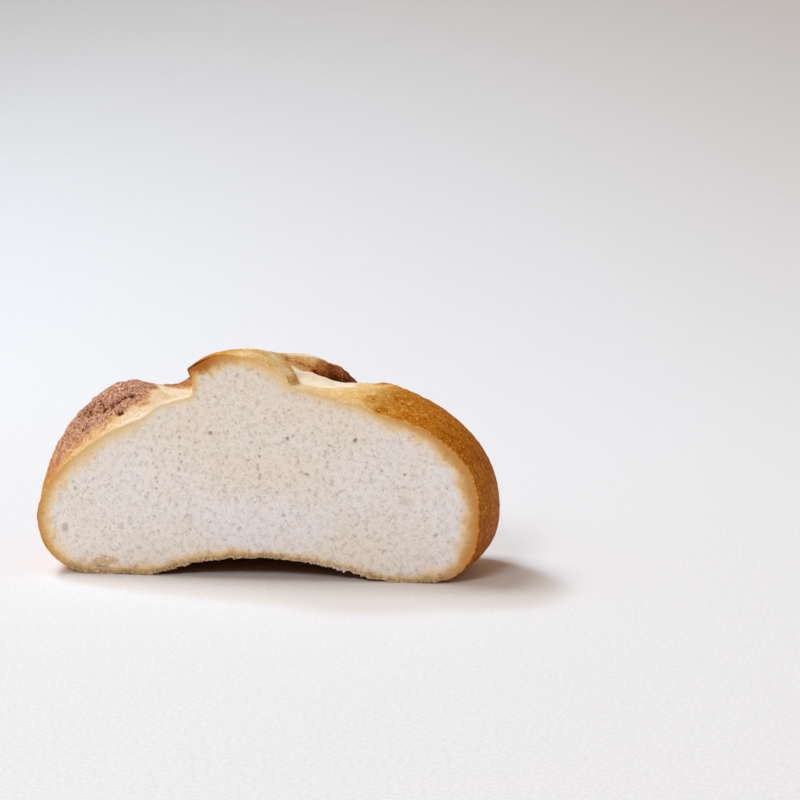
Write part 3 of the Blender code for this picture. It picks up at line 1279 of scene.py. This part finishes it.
    def relief(self, crests: Array) -> tuple[Array, Array]:
        """The fine relief over the roll's plain form.

        Args:
            crests: how far each grid point lies on a petal's crest.

        Returns:
            Heights along the normals, in metres, and how far each grid point lies in a pit.
        """
        theta, points = self.grid.theta, self.grid.points
        along = self.grid.places()
        plain = 1.0 - self.right_calm * self.right_share()
        top = (1.0 - smoothstep(*self.top_end, along)) * plain
        fold = 1.0 - 2.0 * np.abs(self.wrinkle.at(points * self.wrinkle_squash))
        least, added = self.wrinkle_shares
        wrinkle = (fold - self.wrinkle_level) * self.wrinkle_height * (least + added * crests * top)
        dents = np.clip(self.dents.at(points) - self.dent_level, 0.0, self.dent_span) / self.dent_span
        dents = dents * crests * top * smoothstep(0.0, self.dent_margin, points[..., 1])
        named, depth = self.pit_share()
        height = self.wave.at(points) * plain + wrinkle + self.grain.at(points)
        height = height + changes(self.relief_changes, theta, along)
        height = height + self.torn.share(theta, along) * self.torn_relief.at(points)
        height = height + self.far_ridge.share(theta, along) * self.streak_height * self.streaks()
        return height - dents * self.dent_depth - depth, np.maximum(named, self.painted_dent_shade * dents)

    def cap_share(self, crests: Array) -> Array:
        """The browned caps of the petals.

        Args:
            crests: how far each grid point lies on a petal's crest.

        Returns:
            1 on the caps and 0 off them, at each grid point.
        """
        theta, points = self.grid.theta, self.grid.points
        along = self.grid.places()
        left = smoothstep(*self.left_cap, theta)
        border = crests + sum(noise.at(points) for noise in self.border_noise)
        border = border + (1.0 - left) * self.far_noise.at(points)
        limit = mix(np.interp(along, *self.far_border), np.interp(along, *self.left_border), left)
        return smoothstep(*self.border_span, (border - limit) / mix(self.far_softness, 1.0, left))

    def browning(self, crests: Array, pits: Array) -> tuple[Array, Array]:
        """How dark the crust is baked, and how reddish it is, partly as painted sheen.

        Args:
            crests: how far each grid point lies on a petal's crest.
            pits: how far each grid point lies in a pit.

        Returns:
            0 for pale dough to 1 for dark brown, and 0 for amber to 1 for reddish brown with painted sheen.
        """
        theta, points = self.grid.theta, self.grid.points
        along = self.grid.places()
        right = self.right_share()
        lip = 1.0 - smoothstep(*self.lip_side, np.cos(theta))
        button = mix(*self.button_bake, lip) + smoothstep(*self.lip_rim, along) * mix(*self.rim_bake, lip)
        button = button + self.button_shade.at(points)
        flank = mix(np.interp(along, *self.soft_flank), np.interp(along, *self.lip_flank), lip)
        dark = np.interp(np.degrees(theta), *self.cap_bake) * np.interp(along, *self.cap_fade)
        cap = self.cap_share(crests)
        crown = mix(np.interp(along, *self.groove_bake), dark, cap)
        crown = mix(crown, np.interp(along, *self.near_bake), right)
        # Darkest in the hollow: partly browned crust, partly painted shade.
        under = np.interp(along, *self.under_bake_and_shade)
        bake = np.select([along <= 1.0, along <= 2.0, along <= 4.0], [button, flank, crown], under)
        bake = bake + changes(self.bake_changes, theta, along)
        bake = bake + self.torn.effect(theta, along) * (1.0 + self.torn_shade.at(points))
        ridge = self.far_ridge.share(theta, along)
        lift = np.maximum(self.far_ridge.change - bake, 0.0)
        bake = bake + ridge * (lift + self.streak_shade * self.streaks())
        # Pits and dents get painted shade.
        bake = np.maximum(bake, self.palest) + self.painted_pit_shade * pits
        for column, edge in zip((0, -1), self.edges, strict=True):
            bake[:, column] = edge.at("bake", self.grid.along)
        rosy = self.rosy_share(cap, lip, ridge) * (1.0 - right)
        rosy[:, (0, -1)] = smoothstep(*self.rosy_edge, self.grid.along)[:, None]
        return bake, rosy

    def rosy_share(self, cap: Array, lip: Array, ridge: Array) -> Array:
        """How reddish the crust's top is, partly as painted sheen.

        Args:
            cap: how far each grid point lies on a browned cap.
            lip: how far it lies on the lip's side.
            ridge: how far it lies on the far ridge.

        Returns:
            0 for amber to 1 for reddish brown with painted sheen, at each grid point.
        """
        theta, along = self.grid.theta, self.grid.places()
        fade = 1.0 - self.rosy_loss * smoothstep(*self.rosy_fade, along)
        caps = cap * smoothstep(*self.rosy_start, along) * fade
        caps = caps * mix(self.rosy_least, 1.0, smoothstep(*self.rosy_turn, theta))
        ground = self.rosy_ground * lip * smoothstep(*self.ground_start, along)
        ground = ground * (1.0 - smoothstep(*self.ground_fade, along))
        return np.maximum(np.maximum(caps, ground), self.rosy_ridge * ridge)

    def shell(self, relief: Array) -> tuple[SkinGrid, SkinGrid]:
        """Works out the outer and the inner surface.

        Args:
            relief: height of the fine relief at each grid point.

        Returns:
            The outer grid, and the inner grid with fewer columns.
        """
        normals = self.grid.normals()
        points = self.grid.points
        near_cut = 1.0 - smoothstep(0.0, self.ragged_reach, points[..., 1])
        lower = smoothstep(*self.ragged_start, self.grid.along)[:, None]
        height = relief - np.abs(self.ragged.at(points)) * self.ragged_depth * near_cut * lower
        outer = points + normals * height[..., None]
        outer[..., 1] = np.maximum(outer[..., 1], points[..., 1] * 0.5)
        outer[:, (0, -1), 1] = 0.0
        outer[..., 2] = np.maximum(outer[..., 2], 0.0)
        outer[0], outer[-1] = outer[0, 0], outer[-1, 0]
        depth = smoothstep(0.0, self.thicken_over, points[..., 1])
        depth = mix(self.edge_thickness, self.inner_thickness, depth)[..., None]
        inner = outer - normals * depth
        inner[:, (0, -1), 1] = 0.0
        inner[0], inner[-1] = inner[0, 0], inner[-1, 0]
        return self.grid.moved(outer), self.grid.moved(inner).thinned(self.inner_step)

    def build(self, form: RollForm, origin: Vector) -> tuple[bpy.types.Object, SkinGrid]:
        """Makes the crust.

        Args:
            form: the roll's form.
            origin: where the roll's axis meets the table.

        Returns:
            The crust, and the grid of its inner surface.
        """
        crests = self.crest_share(form)
        relief, pits = self.relief(crests)
        outer, inner = self.shell(relief)
        draft = MeshDraft("crust")
        outside = GridSheet(outer, (0.0, 0.06), (1.0, 1.0))
        inside = GridSheet(inner, (0.0, 0.0), (1.0, 0.03), inward=True)
        outer_numbers = outside.draw(draft)
        inner_numbers = inside.draw(draft)
        for column, low in ((0, 0.034), (-1, 0.046)):
            self.draw_rim(draft, outer_numbers[:, column], inner_numbers[:, column], column == 0, low)
            draft.crease(outer_numbers[:, column])
            draft.crease(inner_numbers[:, column])
        values = {
            name: np.concatenate([outside.unrolled(value), inside.unrolled(value[:, :: self.inner_step])])
            for name, value in zip(("bake", "rosy"), self.browning(crests, pits), strict=True)
        }
        return draft.finish(values, self.finish.material(), origin), inner

    def draw_rim(self, draft: MeshDraft, outer: Array, inner: Array, first: bool, low: float) -> None:
        """Adds the narrow strip along the cut that joins the two surfaces.

        Args:
            draft: the crust's mesh.
            outer: numbers of the outer surface's points along the cut.
            inner: numbers of the inner surface's points along the cut.
            first: whether this is the strip on the +X side.
            low: lower edge of the strip's place on the map.
        """
        strip = np.stack([outer[:-1], inner[:-1], inner[1:], outer[1:]], axis=-1)
        start = np.arange(len(strip)) / len(strip)
        corners = ((0, 0), (0, 1), (1, 1), (1, 0))  # of each face: how far along the strip and how far up
        places = [(start + far / len(strip), start * 0 + low + up * self.rim_width) for far, up in corners]
        places = np.array(places).transpose(2, 0, 1)
        if not first:
            strip, places = strip[:, ::-1], places[:, ::-1]
        draft.add_faces(strip, places)


@dataclass(frozen=True)
class Pore:
    """One hole in the crumb: its place on the cut, half its width, depth, stretch, turn and darkness."""

    x: float
    z: float
    radius: float
    depth: float
    stretch: float = 1.2
    turn: float = 1.2
    # How dark its painted shade is.
    dark: float = 1.0


@dataclass
class Crumb:
    """The soft inside: a closed body with a porous cut face, and a plain back against the crust."""

    inner: SkinGrid
    finish: CrumbFinish
    edges: tuple[CutEdge, CutEdge] = (RIGHT_EDGE, LEFT_EDGE)
    spacing: float = 0.00027
    jitter: float = 0.00007
    clearance: float = 0.6  # of the spacing, kept free along the outline
    back_gap: float = 0.0002
    seed: int = 7
    small_pores: int = 1500
    named_pores: tuple[Pore, ...] = (
        Pore(-0.0481, 0.0114, 0.0009, 0.0007, 1.3, 2.2, 0.55),
        Pore(-0.0109, 0.0355, 0.0005, 0.0008, 1.3, 0.6, 0.9),
        Pore(0.0082, 0.0344, 0.0005, 0.0008, 1.2, 2.0, 0.95),
        Pore(0.0249, 0.0343, 0.0005, 0.0008, 1.2, 1.0, 1.0),
        Pore(0.0369, 0.0262, 0.0003, 0.0007),
        Pore(0.0372, 0.0196, 0.0014, 0.0002, 1.5, -0.7, 0.30),
        Pore(-0.0392, 0.0018, 0.0002, 0.0005, 16.0, -0.08, 0.9),
        Pore(-0.0380, 0.0044, 0.0002, 0.0003, 12.0, -0.12, 0.6),
    )
    scab_place: Pair = (-0.0390, 0.0031)
    scab_size: Pair = (0.0043, 0.0012)
    rows: tuple[Triple, ...] = (
        (-0.0186, 0.0250, 0.0350),
        (0.0012, 0.0235, 0.0330),
        (0.0178, 0.0240, 0.0330),
        (-0.0245, 0.0215, 0.0280),
    )  # short upright rows of pores: x, lowest z and highest z
    row_step: float = 0.0016
    row_scatter: float = 0.0004
    row_sizes: Pair = (0.00022, 0.00042)
    row_look: Triple = (1.4, 1.5, 0.7)  # stretch, turn and darkness
    pore_margin: float = 0.0010  # clear of the outline
    pore_sizes: tuple[float, ...] = (2.4, 0.000034, 0.00030, 0.00011)  # shape, scale, most and least
    pore_looks: tuple[Pair, ...] = ((1.0, 2.4), (0.0, math.pi), (0.08, 0.64))  # stretch, turn and darkness
    pore_depth: float = 0.9  # as a share of its radius
    pore_reach: float = 1.5  # how far out from a pore's middle points are looked for, in its own sizes
    pore_span: Pair = (0.35, 1.15)
    pore_edge: SolidNoise = SolidNoise(21, 0.0008, 2, 0.3)
    fine: SolidNoise = SolidNoise(22, 0.0012)
    wave: SolidNoise = SolidNoise(23, 0.006, 1, 0.00015)
    toast_edge: SolidNoise = SolidNoise(24, 0.0030, 3, 0.50)
    tone_clouds: SolidNoise = SolidNoise(25, 0.014, 3, 0.50)
    low_edge: Pair = (3.3, 3.9)  # places along the meridian over which the lower edge turns tan and granular
    granular_reach: float = 0.0028
    granular_pores: Pair = (0.5, 0.7)  # depth of noise over which they darken, and how dark they get
    rough_heights: Pair = (0.00008, 0.00030)  # everywhere, and what the granular edge adds
    toast_power: float = 1.2
    toast_shares: Pair = (0.40, 0.60)  # on a pale edge, and what a deep one adds
    deep_gain: float = 1.4
    high_span: Pair = (0.020, 0.046)  # heights over which the crumb turns creamier
    right_span: Pair = (0.020, 0.050)  # places over which it turns cooler towards +X
    tones: tuple[float, ...] = (0.60, 0.30, 0.45, 0.90)  # plain, and what height, +X and the hollow change
    scab_span: Pair = (0.55, 1.15)
    scab_noise: Pair = (0.9, 0.5)  # in its border and in its strength
    scab_shares: Triple = (0.75, 0.55, 0.58)  # plain, in the pores and in the toast
    edge_fade: float = 0.0007
    set_back: float = 0.00012
    hollow_place: Pair = (0.0, 0.014)
    hollow_size: Pair = (0.022, 0.006)
    map_back: float = 0.05  # the back's upper end on the map
    map_front: float = 0.07  # the cut face's lower end on the map
    search_parts: int = 6  # places on each stretch of the outline that are searched
    merge: float = 1e-7

    def loop(self) -> tuple[Array, Array]:
        """The outline of the cut face inside the crust.

        Returns:
            x and z of its points in order, and for each point its ring's place along the meridian, the width
            of the toasted edge there and how deep its colour is.
        """
        outline = np.concatenate([self.inner.points[:, 0], self.inner.points[-2:0:-1, -1]])[:, (0, 2)]
        right, left = self.inner.along, self.inner.along[-2:0:-1]
        facts = [np.concatenate([right, left])]
        for name, unit in (("width", 0.001), ("deep", 1.0)):
            facts.append(np.concatenate([self.edges[0].at(name, right), self.edges[1].at(name, left)]) * unit)
        return outline, np.column_stack(facts)

    def lattice(self, outline: Array) -> Array:
        """Points spread evenly over the cut face, a little out of line, clear of the outline.

        Args:
            outline: x and z of the outline's points in order.

        Returns:
            x and z of the points.
        """
        low, high = outline.min(axis=0), outline.max(axis=0)
        rise = self.spacing * math.sqrt(3) / 2
        xs, zs = np.meshgrid(np.arange(low[0], high[0], self.spacing), np.arange(low[1], high[1], rise))
        xs[1::2] += self.spacing / 2
        points = np.stack([xs.ravel(), zs.ravel()], axis=-1)
        points += np.random.default_rng(self.seed).uniform(-self.jitter, self.jitter, points.shape)
        return points[self.within(outline, points)]

    @staticmethod
    def within(outline: Array, points: Array) -> Array:
        """Which points lie inside the outline.

        Args:
            outline: x and z of the outline's points in order.
            points: x and z of the points.

        Returns:
            True for each point inside.
        """
        inside = np.zeros(len(points), bool)
        for start, end in zip(outline, np.roll(outline, -1, axis=0), strict=True):
            crosses = (start[1] > points[:, 1]) != (end[1] > points[:, 1])
            slope = (end[0] - start[0]) / (end[1] - start[1]) if end[1] != start[1] else 0.0
            inside ^= crosses & (points[:, 0] < start[0] + (points[:, 1] - start[1]) * slope)
        return inside

    def nearest(self, outline: Array, points: Array) -> tuple[Array, Array]:
        """How far points lie from the outline.

        Args:
            outline: x and z of the outline's points in order.
            points: x and z of the points.

        Returns:
            Distances, and the number of the outline's nearest point.
        """
        following = np.roll(outline, -1, axis=0)
        shares = (part / self.search_parts for part in range(self.search_parts))
        tree = search_tree(np.concatenate([mix(outline, following, share) for share in shares]))
        found = [tree.find((x, z, 0.0)) for x, z in points.tolist()]
        return np.array([hit[2] for hit in found]), np.array([hit[1] for hit in found]) % len(outline)

    def scatter(self, inside: Array) -> list[Pore]:
        """Draws the small pores and the short rows of pores.

        Args:
            inside: x and z of the places where small pores may lie.

        Returns:
            The pores.
        """
        rng = np.random.default_rng(self.seed + 1)
        count = self.small_pores
        places = inside[rng.choice(len(inside), count, replace=False)]
        shape, scale, most, least = self.pore_sizes
        radii = np.minimum(rng.gamma(shape, scale, count), most) + least
        looks = [rng.uniform(low, high, count) for low, high in self.pore_looks]
        drawn = zip(places, radii, *looks, strict=True)
        spots = [Pore(x, z, radius, self.pore_depth * radius, *look) for (x, z), radius, *look in drawn]
        for x, low, high in self.rows:
            for z in np.arange(low, high, self.row_step):
                x_off, z_off = rng.normal(0.0, self.row_scatter), rng.normal(0.0, self.row_scatter)
                size = rng.uniform(*self.row_sizes)
                spots.append(Pore(x + x_off, z + z_off, size, size, *self.row_look))
        return spots

    def pores(self, points: Array, inset: Array) -> tuple[Array, Array]:
        """The pores of the cut face.

        Args:
            points: x and z of the face's points.
            inset: how far they lie from the outline.

        Returns:
            Depth of the pores at each point, in metres, and how much painted shade they get there.
        """
        tree = search_tree(points)
        depth, darkness = np.zeros(len(points)), np.zeros(len(points))
        uneven = self.pore_edge.at(in_space(points))
        for spot in (*self.scatter(points[inset > self.pore_margin]), *self.named_pores):
            found = tree.find_range((spot.x, spot.z, 0.0), spot.radius * spot.stretch * self.pore_reach)
            if not found:
                continue
            numbers = np.array([hit[1] for hit in found])
            reach = points[numbers] - (spot.x, spot.z)
            cosine, sine = math.cos(spot.turn), math.sin(spot.turn)
            lengthways = (reach[:, 0] * cosine + reach[:, 1] * sine) / spot.stretch
            across = reach[:, 1] * cosine - reach[:, 0] * sine
            away = np.hypot(lengthways, across) / spot.radius + uneven[numbers]
            within = 1.0 - smoothstep(*self.pore_span, away)
            depth[numbers] = np.maximum(depth[numbers], within * spot.depth)
            darkness[numbers] = np.maximum(darkness[numbers], within * spot.dark)
        return depth, darkness

    def build(self, origin: Vector) -> bpy.types.Object:
        """Makes the crumb.

        Args:
            origin: where the roll's axis meets the table.

        Returns:
            The crumb.
        """
        outline, facts = self.loop()
        lattice = self.lattice(outline)
        lattice = lattice[self.nearest(outline, lattice)[0] > self.spacing * self.clearance]
        flat = [Vector(point) for point in np.concatenate([outline, lattice]).tolist()]
        ring = [(number, (number + 1) % len(outline)) for number in range(len(outline))]
        drawn, _, faces, origins, _, _ = delaunay_2d_cdt(flat, ring, [], 0, self.merge, True)
        plane = np.array([point[:] for point in drawn])
        corners = np.array(faces)
        corners = corners[self.within(outline, plane[corners].mean(axis=1))]
        inset, nearest = self.nearest(outline, plane)
        rank = np.array([min(source) if source else len(outline) for source in origins])
        inset[rank < len(outline)] = 0.0
        depth, values = self.surface(plane, inset, facts[nearest])
        draft = MeshDraft("crumb")
        first = draft.add_points(np.insert(plane, 1, depth, axis=1))
        spots = (plane - plane.min(axis=0)) / np.ptp(plane, axis=0)
        spots = spots * (1.0, 1.0 - self.map_front) + (0.0, self.map_front)
        draft.add_faces(corners + first, spots[corners])
        draft.crease(np.flatnonzero(rank < len(outline)) + first)
        self.draw_back(draft, rank)
        back = np.full(draft.count - len(plane), 0.5)
        values = {name: np.concatenate([value, back]) for name, value in values.items()}
        return draft.finish(values, self.finish.material(), origin)

    def surface(self, plane: Array, inset: Array, facts: Array) -> tuple[Array, dict[str, Array]]:
        """The relief and the shades of the cut face.

        Args:
            plane: x and z of its points.
            inset: how far they lie from the outline.
            facts: for each point, what loop gives for the outline's nearest point.

        Returns:
            How far each point lies behind the cut plane, and the values for the finish.
        """
        along, width, deep = facts.T
        depth, darkness = self.pores(plane, inset)
        space = in_space(plane)
        low_edge = smoothstep(*self.low_edge, along)
        granular = low_edge * (1.0 - smoothstep(0.0, self.granular_reach, inset))
        fine = self.fine.at(space)
        plain, added = self.rough_heights
        rough = fine * (plain + added * granular) + self.wave.at(space)
        reach = inset * (1.0 + self.toast_edge.at(space)) / width
        pale, deeper = self.toast_shares
        toast = np.maximum(1.0 - reach, 0.0) ** self.toast_power
        toast = toast * (pale + deeper * np.minimum(self.deep_gain * deep, 1.0))
        high = smoothstep(*self.high_span, plane[:, 1])
        right = smoothstep(*self.right_span, plane[:, 0])
        hollow = np.exp(-np.sum(((plane - self.hollow_place) / self.hollow_size) ** 2, axis=1))
        base, creamier, cooler, coolest = self.tones
        tone = base + self.tone_clouds.at(space) + creamier * high - cooler * right - coolest * hollow
        away = np.hypot(*((plane - self.scab_place) / self.scab_size).T) + self.scab_noise[0] * fine
        strength, in_pores, in_toast = self.scab_shares
        scab = (1.0 - smoothstep(*self.scab_span, away)) * (strength + self.scab_noise[1] * fine)
        limit, darkest = self.granular_pores
        # Painted shade in the pores, plus the granular edge's specks and the scab's darker colour.
        pore = darkness + granular * smoothstep(0.0, limit, -fine) * darkest + in_pores * scab
        values = {
            "toast": np.maximum(toast, in_toast * scab),
            "deep": deep,
            "tan": np.maximum(low_edge, scab),
            "pore": np.clip(pore, 0.0, 1.0),
            "tone": tone,
        }
        return (rough + self.set_back + depth) * smoothstep(0.0, self.edge_fade, inset), values

    def draw_back(self, draft: MeshDraft, rank: Array) -> None:
        """Adds the back, which follows the inner surface of the crust and shares the outline's points.

        Args:
            draft: the crumb's mesh, which holds the cut face.
            rank: for each point of the cut face, its place in the outline, or more if it isn't on it.
        """
        rings, columns = self.inner.theta.shape
        edge = {int(place): number for number, place in enumerate(rank.tolist()) if place < 2 * rings - 2}
        middle = (self.inner.points - self.inner.normals() * self.back_gap)[1:-1, 1:-1]
        numbers = np.zeros((rings, columns), int)
        steps = np.arange(middle[..., 0].size).reshape(middle.shape[:2])
        numbers[1:-1, 1:-1] = draft.add_points(middle) + steps
        numbers[:, 0] = [edge[ring] for ring in range(rings)]
        numbers[1:-1, -1] = [edge[2 * rings - 2 - ring] for ring in range(1, rings - 1)]
        numbers[0], numbers[-1] = numbers[0, 0], numbers[-1, 0]
        draft.add_sheet(numbers, map_places(columns, rings, (0.0, 0.0), (1.0, self.map_back)))


@dataclass
class LooseCrumbs:
    """Small crumbs that cling to the lower edge of the cut, each a closed lump."""

    inner: SkinGrid
    finish: CrumbFinish
    count: int = 900
    smallest: float = 0.00010
    largest: float = 0.00036
    spread_out: float = 0.00038
    white_place: float = 0.021  # where along the cut the crumbs are white instead of tan
    white_reach: float = 0.008
    seed: int = 5
    turns: int = 7  # points round a lump
    levels: int = 5  # rings of a lump, with both its ends
    starts_at: float = 3.72  # place along the meridian above which there are none
    unevenness: float = 0.45
    stretches: Pair = (0.6, 1.5)
    lowest: float = 1.3  # height of a lump's middle over the table, in its own sizes
    toasts: Pair = (0.35, 1.0)
    whitening: float = 0.8
    darks: Pair = (0.0, 0.35)
    tone: float = 0.6
    map_margin: float = 0.05  # round each lump on the map, as a share of its square

    def lump(self, rng: np.random.Generator) -> Array:
        """One uneven lump about the origin, of size 1.

        Args:
            rng: source of its shape.

        Returns:
            Levels x turns points; all points of the first level are the same, and of the last.
        """
        tilts, turns = np.linspace(0.0, math.pi, self.levels), np.arange(self.turns) / self.turns * math.tau
        tilt, turn = np.meshgrid(tilts, turns, indexing="ij")
        out = 1.0 + rng.uniform(-self.unevenness, self.unevenness, tilt.shape)
        out[0], out[-1] = out[0, 0], out[-1, 0]
        points = np.stack([np.sin(tilt) * np.cos(turn), np.sin(tilt) * np.sin(turn), np.cos(tilt)], axis=-1)
        return points * out[..., None] * rng.uniform(*self.stretches, 3)

    def draw(self, draft: MeshDraft, points: Array, number: int) -> None:
        """Adds one lump to a mesh.

        Args:
            draft: the mesh.
            points: the lump's points.
            number: its number, for its place on the map.
        """
        per_row = math.ceil(math.sqrt(self.count))
        middle = points[1:-1].reshape(-1, 3)
        first = draft.add_points(np.concatenate([points[0, :1], middle, points[-1, :1]]))
        numbers = np.zeros((self.levels, self.turns + 1), int)
        numbers[1:-1, :-1] = 1 + np.arange(len(middle)).reshape(self.levels - 2, self.turns)
        numbers[1:-1, -1] = numbers[1:-1, 0]
        numbers[-1] = 1 + len(middle)
        numbers += first
        low, high = (self.map_margin,) * 2, (1.0 - self.map_margin,) * 2
        places = map_places(self.turns + 1, self.levels, low, high) + (number % per_row, number // per_row)
        draft.add_sheet(numbers, places / per_row)

    def build(self, origin: Vector) -> bpy.types.Object:
        """Makes the crumbs.

        Args:
            origin: where the roll's axis meets the table.

        Returns:
            The crumbs, as one piece.
        """
        rng = np.random.default_rng(self.seed)
        lower = self.inner.along > self.starts_at
        edge = np.concatenate([self.inner.points[lower, 0], self.inner.points[lower, -1][::-1]])
        length = np.concatenate([[0.0], np.cumsum(np.linalg.norm(np.diff(edge, axis=0), axis=1))])
        draft = MeshDraft("loose_crumbs")
        white = np.zeros(self.count)
        for number in range(self.count):
            place = rng.uniform(0.0, length[-1])
            middle = np.array([np.interp(place, length, edge[:, axis]) for axis in range(3)])
            size = mix(self.smallest, self.largest, rng.uniform() ** 2)
            middle = middle + rng.uniform(-1.0, 1.0, 3) * self.spread_out
            middle[2] = max(middle[2], size * self.lowest)
            white[number] = math.exp(-(((middle[0] - self.white_place) / self.white_reach) ** 2))
            self.draw(draft, self.lump(rng) * size + middle, number)
        shades = rng.uniform(*self.toasts, self.count) * (1.0 - self.whitening * white)
        each = draft.count // self.count
        values = {
            "toast": np.repeat(shades, each),
            "deep": np.zeros(draft.count),
            "tan": np.ones(draft.count),
            "pore": np.repeat(rng.uniform(*self.darks, self.count), each),
            "tone": np.full(draft.count, self.tone),
        }
        return draft.finish(values, self.finish.material(), origin)


@dataclass(frozen=True)
class Lamp:
    """One soft square light: where it hangs, its side, power in watts, colour and spread."""

    name: str
    place: Triple
    size: float
    power: float
    colour: Colour
    spread: float = math.pi


@dataclass(frozen=True)
class Studio:
    """Plain pale sweep, soft lights and the camera."""

    floor: FloorFinish
    azimuth: float = math.radians(8.97)
    elevation: float = math.radians(5.5)
    lens: float = 85.0
    sensor_width: float = 36.0
    clip_start: float = 0.01
    camera_place: Triple = (0.10598, -0.44397, 0.08753)  # from the middle of the cut's base
    sweep_width: float = 6.0
    sweep_front: float = -2.0
    sweep_back: float = 0.30
    sweep_bend: float = 2.4
    sweep_steps: int = 48
    sweep_height: float = 3.4
    lamps: tuple[Lamp, ...] = (
        Lamp("top", (-1.10, 0.50, 2.00), 1.00, 8.5, (0.95, 1.0, 0.99), math.radians(100)),
        Lamp("back", (-0.99, 0.95, 1.45), 0.30, 7.8, (0.52, 0.78, 1.0)),
        Lamp("back_beam", (-0.99, 0.95, 1.45), 0.30, 1.8, (0.63, 0.72, 1.0), math.radians(105)),
        Lamp("front", (-0.30, -1.70, 1.06), 0.50, 13.5, (0.83, 0.90, 0.97)),
    )
    lamp_aim: Triple = (0.0, 0.0, 0.02)
    room_colour: Colour = (1.0, 0.70, 0.44)
    room_strength: float = 0.31

    def build_sweep(self) -> bpy.types.Object:
        """Makes the floor, which bends up into a backdrop.

        Returns:
            The floor, staged.
        """
        turns = [math.pi / 2 * step / self.sweep_steps for step in range(self.sweep_steps + 1)]
        back, radius = self.sweep_back, self.sweep_bend
        bend = [(back + radius * math.sin(turn), radius * (1.0 - math.cos(turn))) for turn in turns]
        outline = [(self.sweep_front, 0.0), *bend, (bend[-1][0], self.sweep_height)]
        half = self.sweep_width / 2
        points = [(side, y, z) for y, z in outline for side in (-half, half)]
        faces = [(2 * n, 2 * n + 1, 2 * n + 3, 2 * n + 2) for n in range(len(outline) - 1)]
        mesh = bpy.data.meshes.new("sweep")
        mesh.from_pydata(points, [], faces)
        mesh.polygons.foreach_set("use_smooth", [True] * len(faces))
        mesh.materials.append(self.floor.material())
        sweep = bpy.data.objects.new("sweep", mesh)
        bpy.context.scene.collection.objects.link(sweep)
        return sweep

    def add_light(self, lamp: Lamp) -> None:
        """Adds one soft square light.

        Args:
            lamp: what it is like.
        """
        light = bpy.data.lights.new(lamp.name, "AREA")
        light.energy, light.size, light.color, light.spread = lamp.power, lamp.size, lamp.colour, lamp.spread
        hung = bpy.data.objects.new(lamp.name, light)
        hung.location = lamp.place
        hung.rotation_euler = (Vector(self.lamp_aim) - Vector(lamp.place)).to_track_quat("-Z", "Y").to_euler()
        bpy.context.scene.collection.objects.link(hung)

    def light_up(self) -> None:
        """Hangs the lights and sets the light of the room."""
        for lamp in self.lamps:
            self.add_light(lamp)
        world = bpy.data.worlds.new("room")
        world.use_nodes = True
        background = world.node_tree.nodes["Background"]
        background.inputs["Color"].default_value = (*self.room_colour, 1.0)
        background.inputs["Strength"].default_value = self.room_strength
        bpy.context.scene.world = world
        bpy.context.scene.view_settings.view_transform = "Standard"

    def place_camera(self, cut_middle: Vector) -> None:
        """Makes the camera.

        Args:
            cut_middle: the middle of the cut face's lower edge.
        """
        swing, tilt = self.azimuth, self.elevation
        right = Vector((math.cos(swing), math.sin(swing), 0.0))
        back = Vector((math.sin(swing) * math.cos(tilt), -math.cos(swing) * math.cos(tilt), math.sin(tilt)))
        turn = Matrix((right, back.cross(right), back)).transposed()
        data = bpy.data.cameras.new("camera")
        data.lens, data.sensor_width, data.clip_start = self.lens, self.sensor_width, self.clip_start
        camera = bpy.data.objects.new("camera", data)
        camera.matrix_world = Matrix.Translation(cut_middle + Vector(self.camera_place)) @ turn.to_4x4()
        bpy.context.scene.collection.objects.link(camera)
        bpy.context.scene.camera = camera


def settle(piece: bpy.types.Object) -> None:
    """Fixes a piece of the half to its body, hides the node's imported solid, and reports its faces.

    Args:
        piece: the piece.
    """
    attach(piece, BODY)
    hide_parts(NODE_NAME)
    log.info("%s: %d faces", piece.name, len(piece.data.polygons))


def main() -> None:
    """Builds the half, its floor, its lights and its camera."""
    logging.basicConfig(level=logging.INFO, format="%(message)s")
    low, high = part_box(NODE_NAME)
    form = RollForm()
    grid = SkinSampler(form).sample()
    origin = Vector((high.x - float(grid.points[..., 0].max()), low.y, low.z))
    log.info("skin grid: %d rings, %d columns, axis at x %.5f", *grid.theta.shape, origin.x)
    crust, inner = Crust(grid, CrustFinish()).build(form, origin)
    settle(crust)
    crumb = Crumb(inner, CrumbFinish()).build(origin)
    settle(crumb)
    crumbs = LooseCrumbs(inner, CrumbFinish("loose_crumb")).build(origin)
    settle(crumbs)
    edge = grid.points[:, (0, -1), 0]
    studio = Studio(FloorFinish())
    studio.build_sweep()
    studio.light_up()
    studio.place_camera(origin + Vector(((float(edge.min()) + float(edge.max())) / 2, 0.0, 0.0)))


if __name__ == "__main__":
    main()
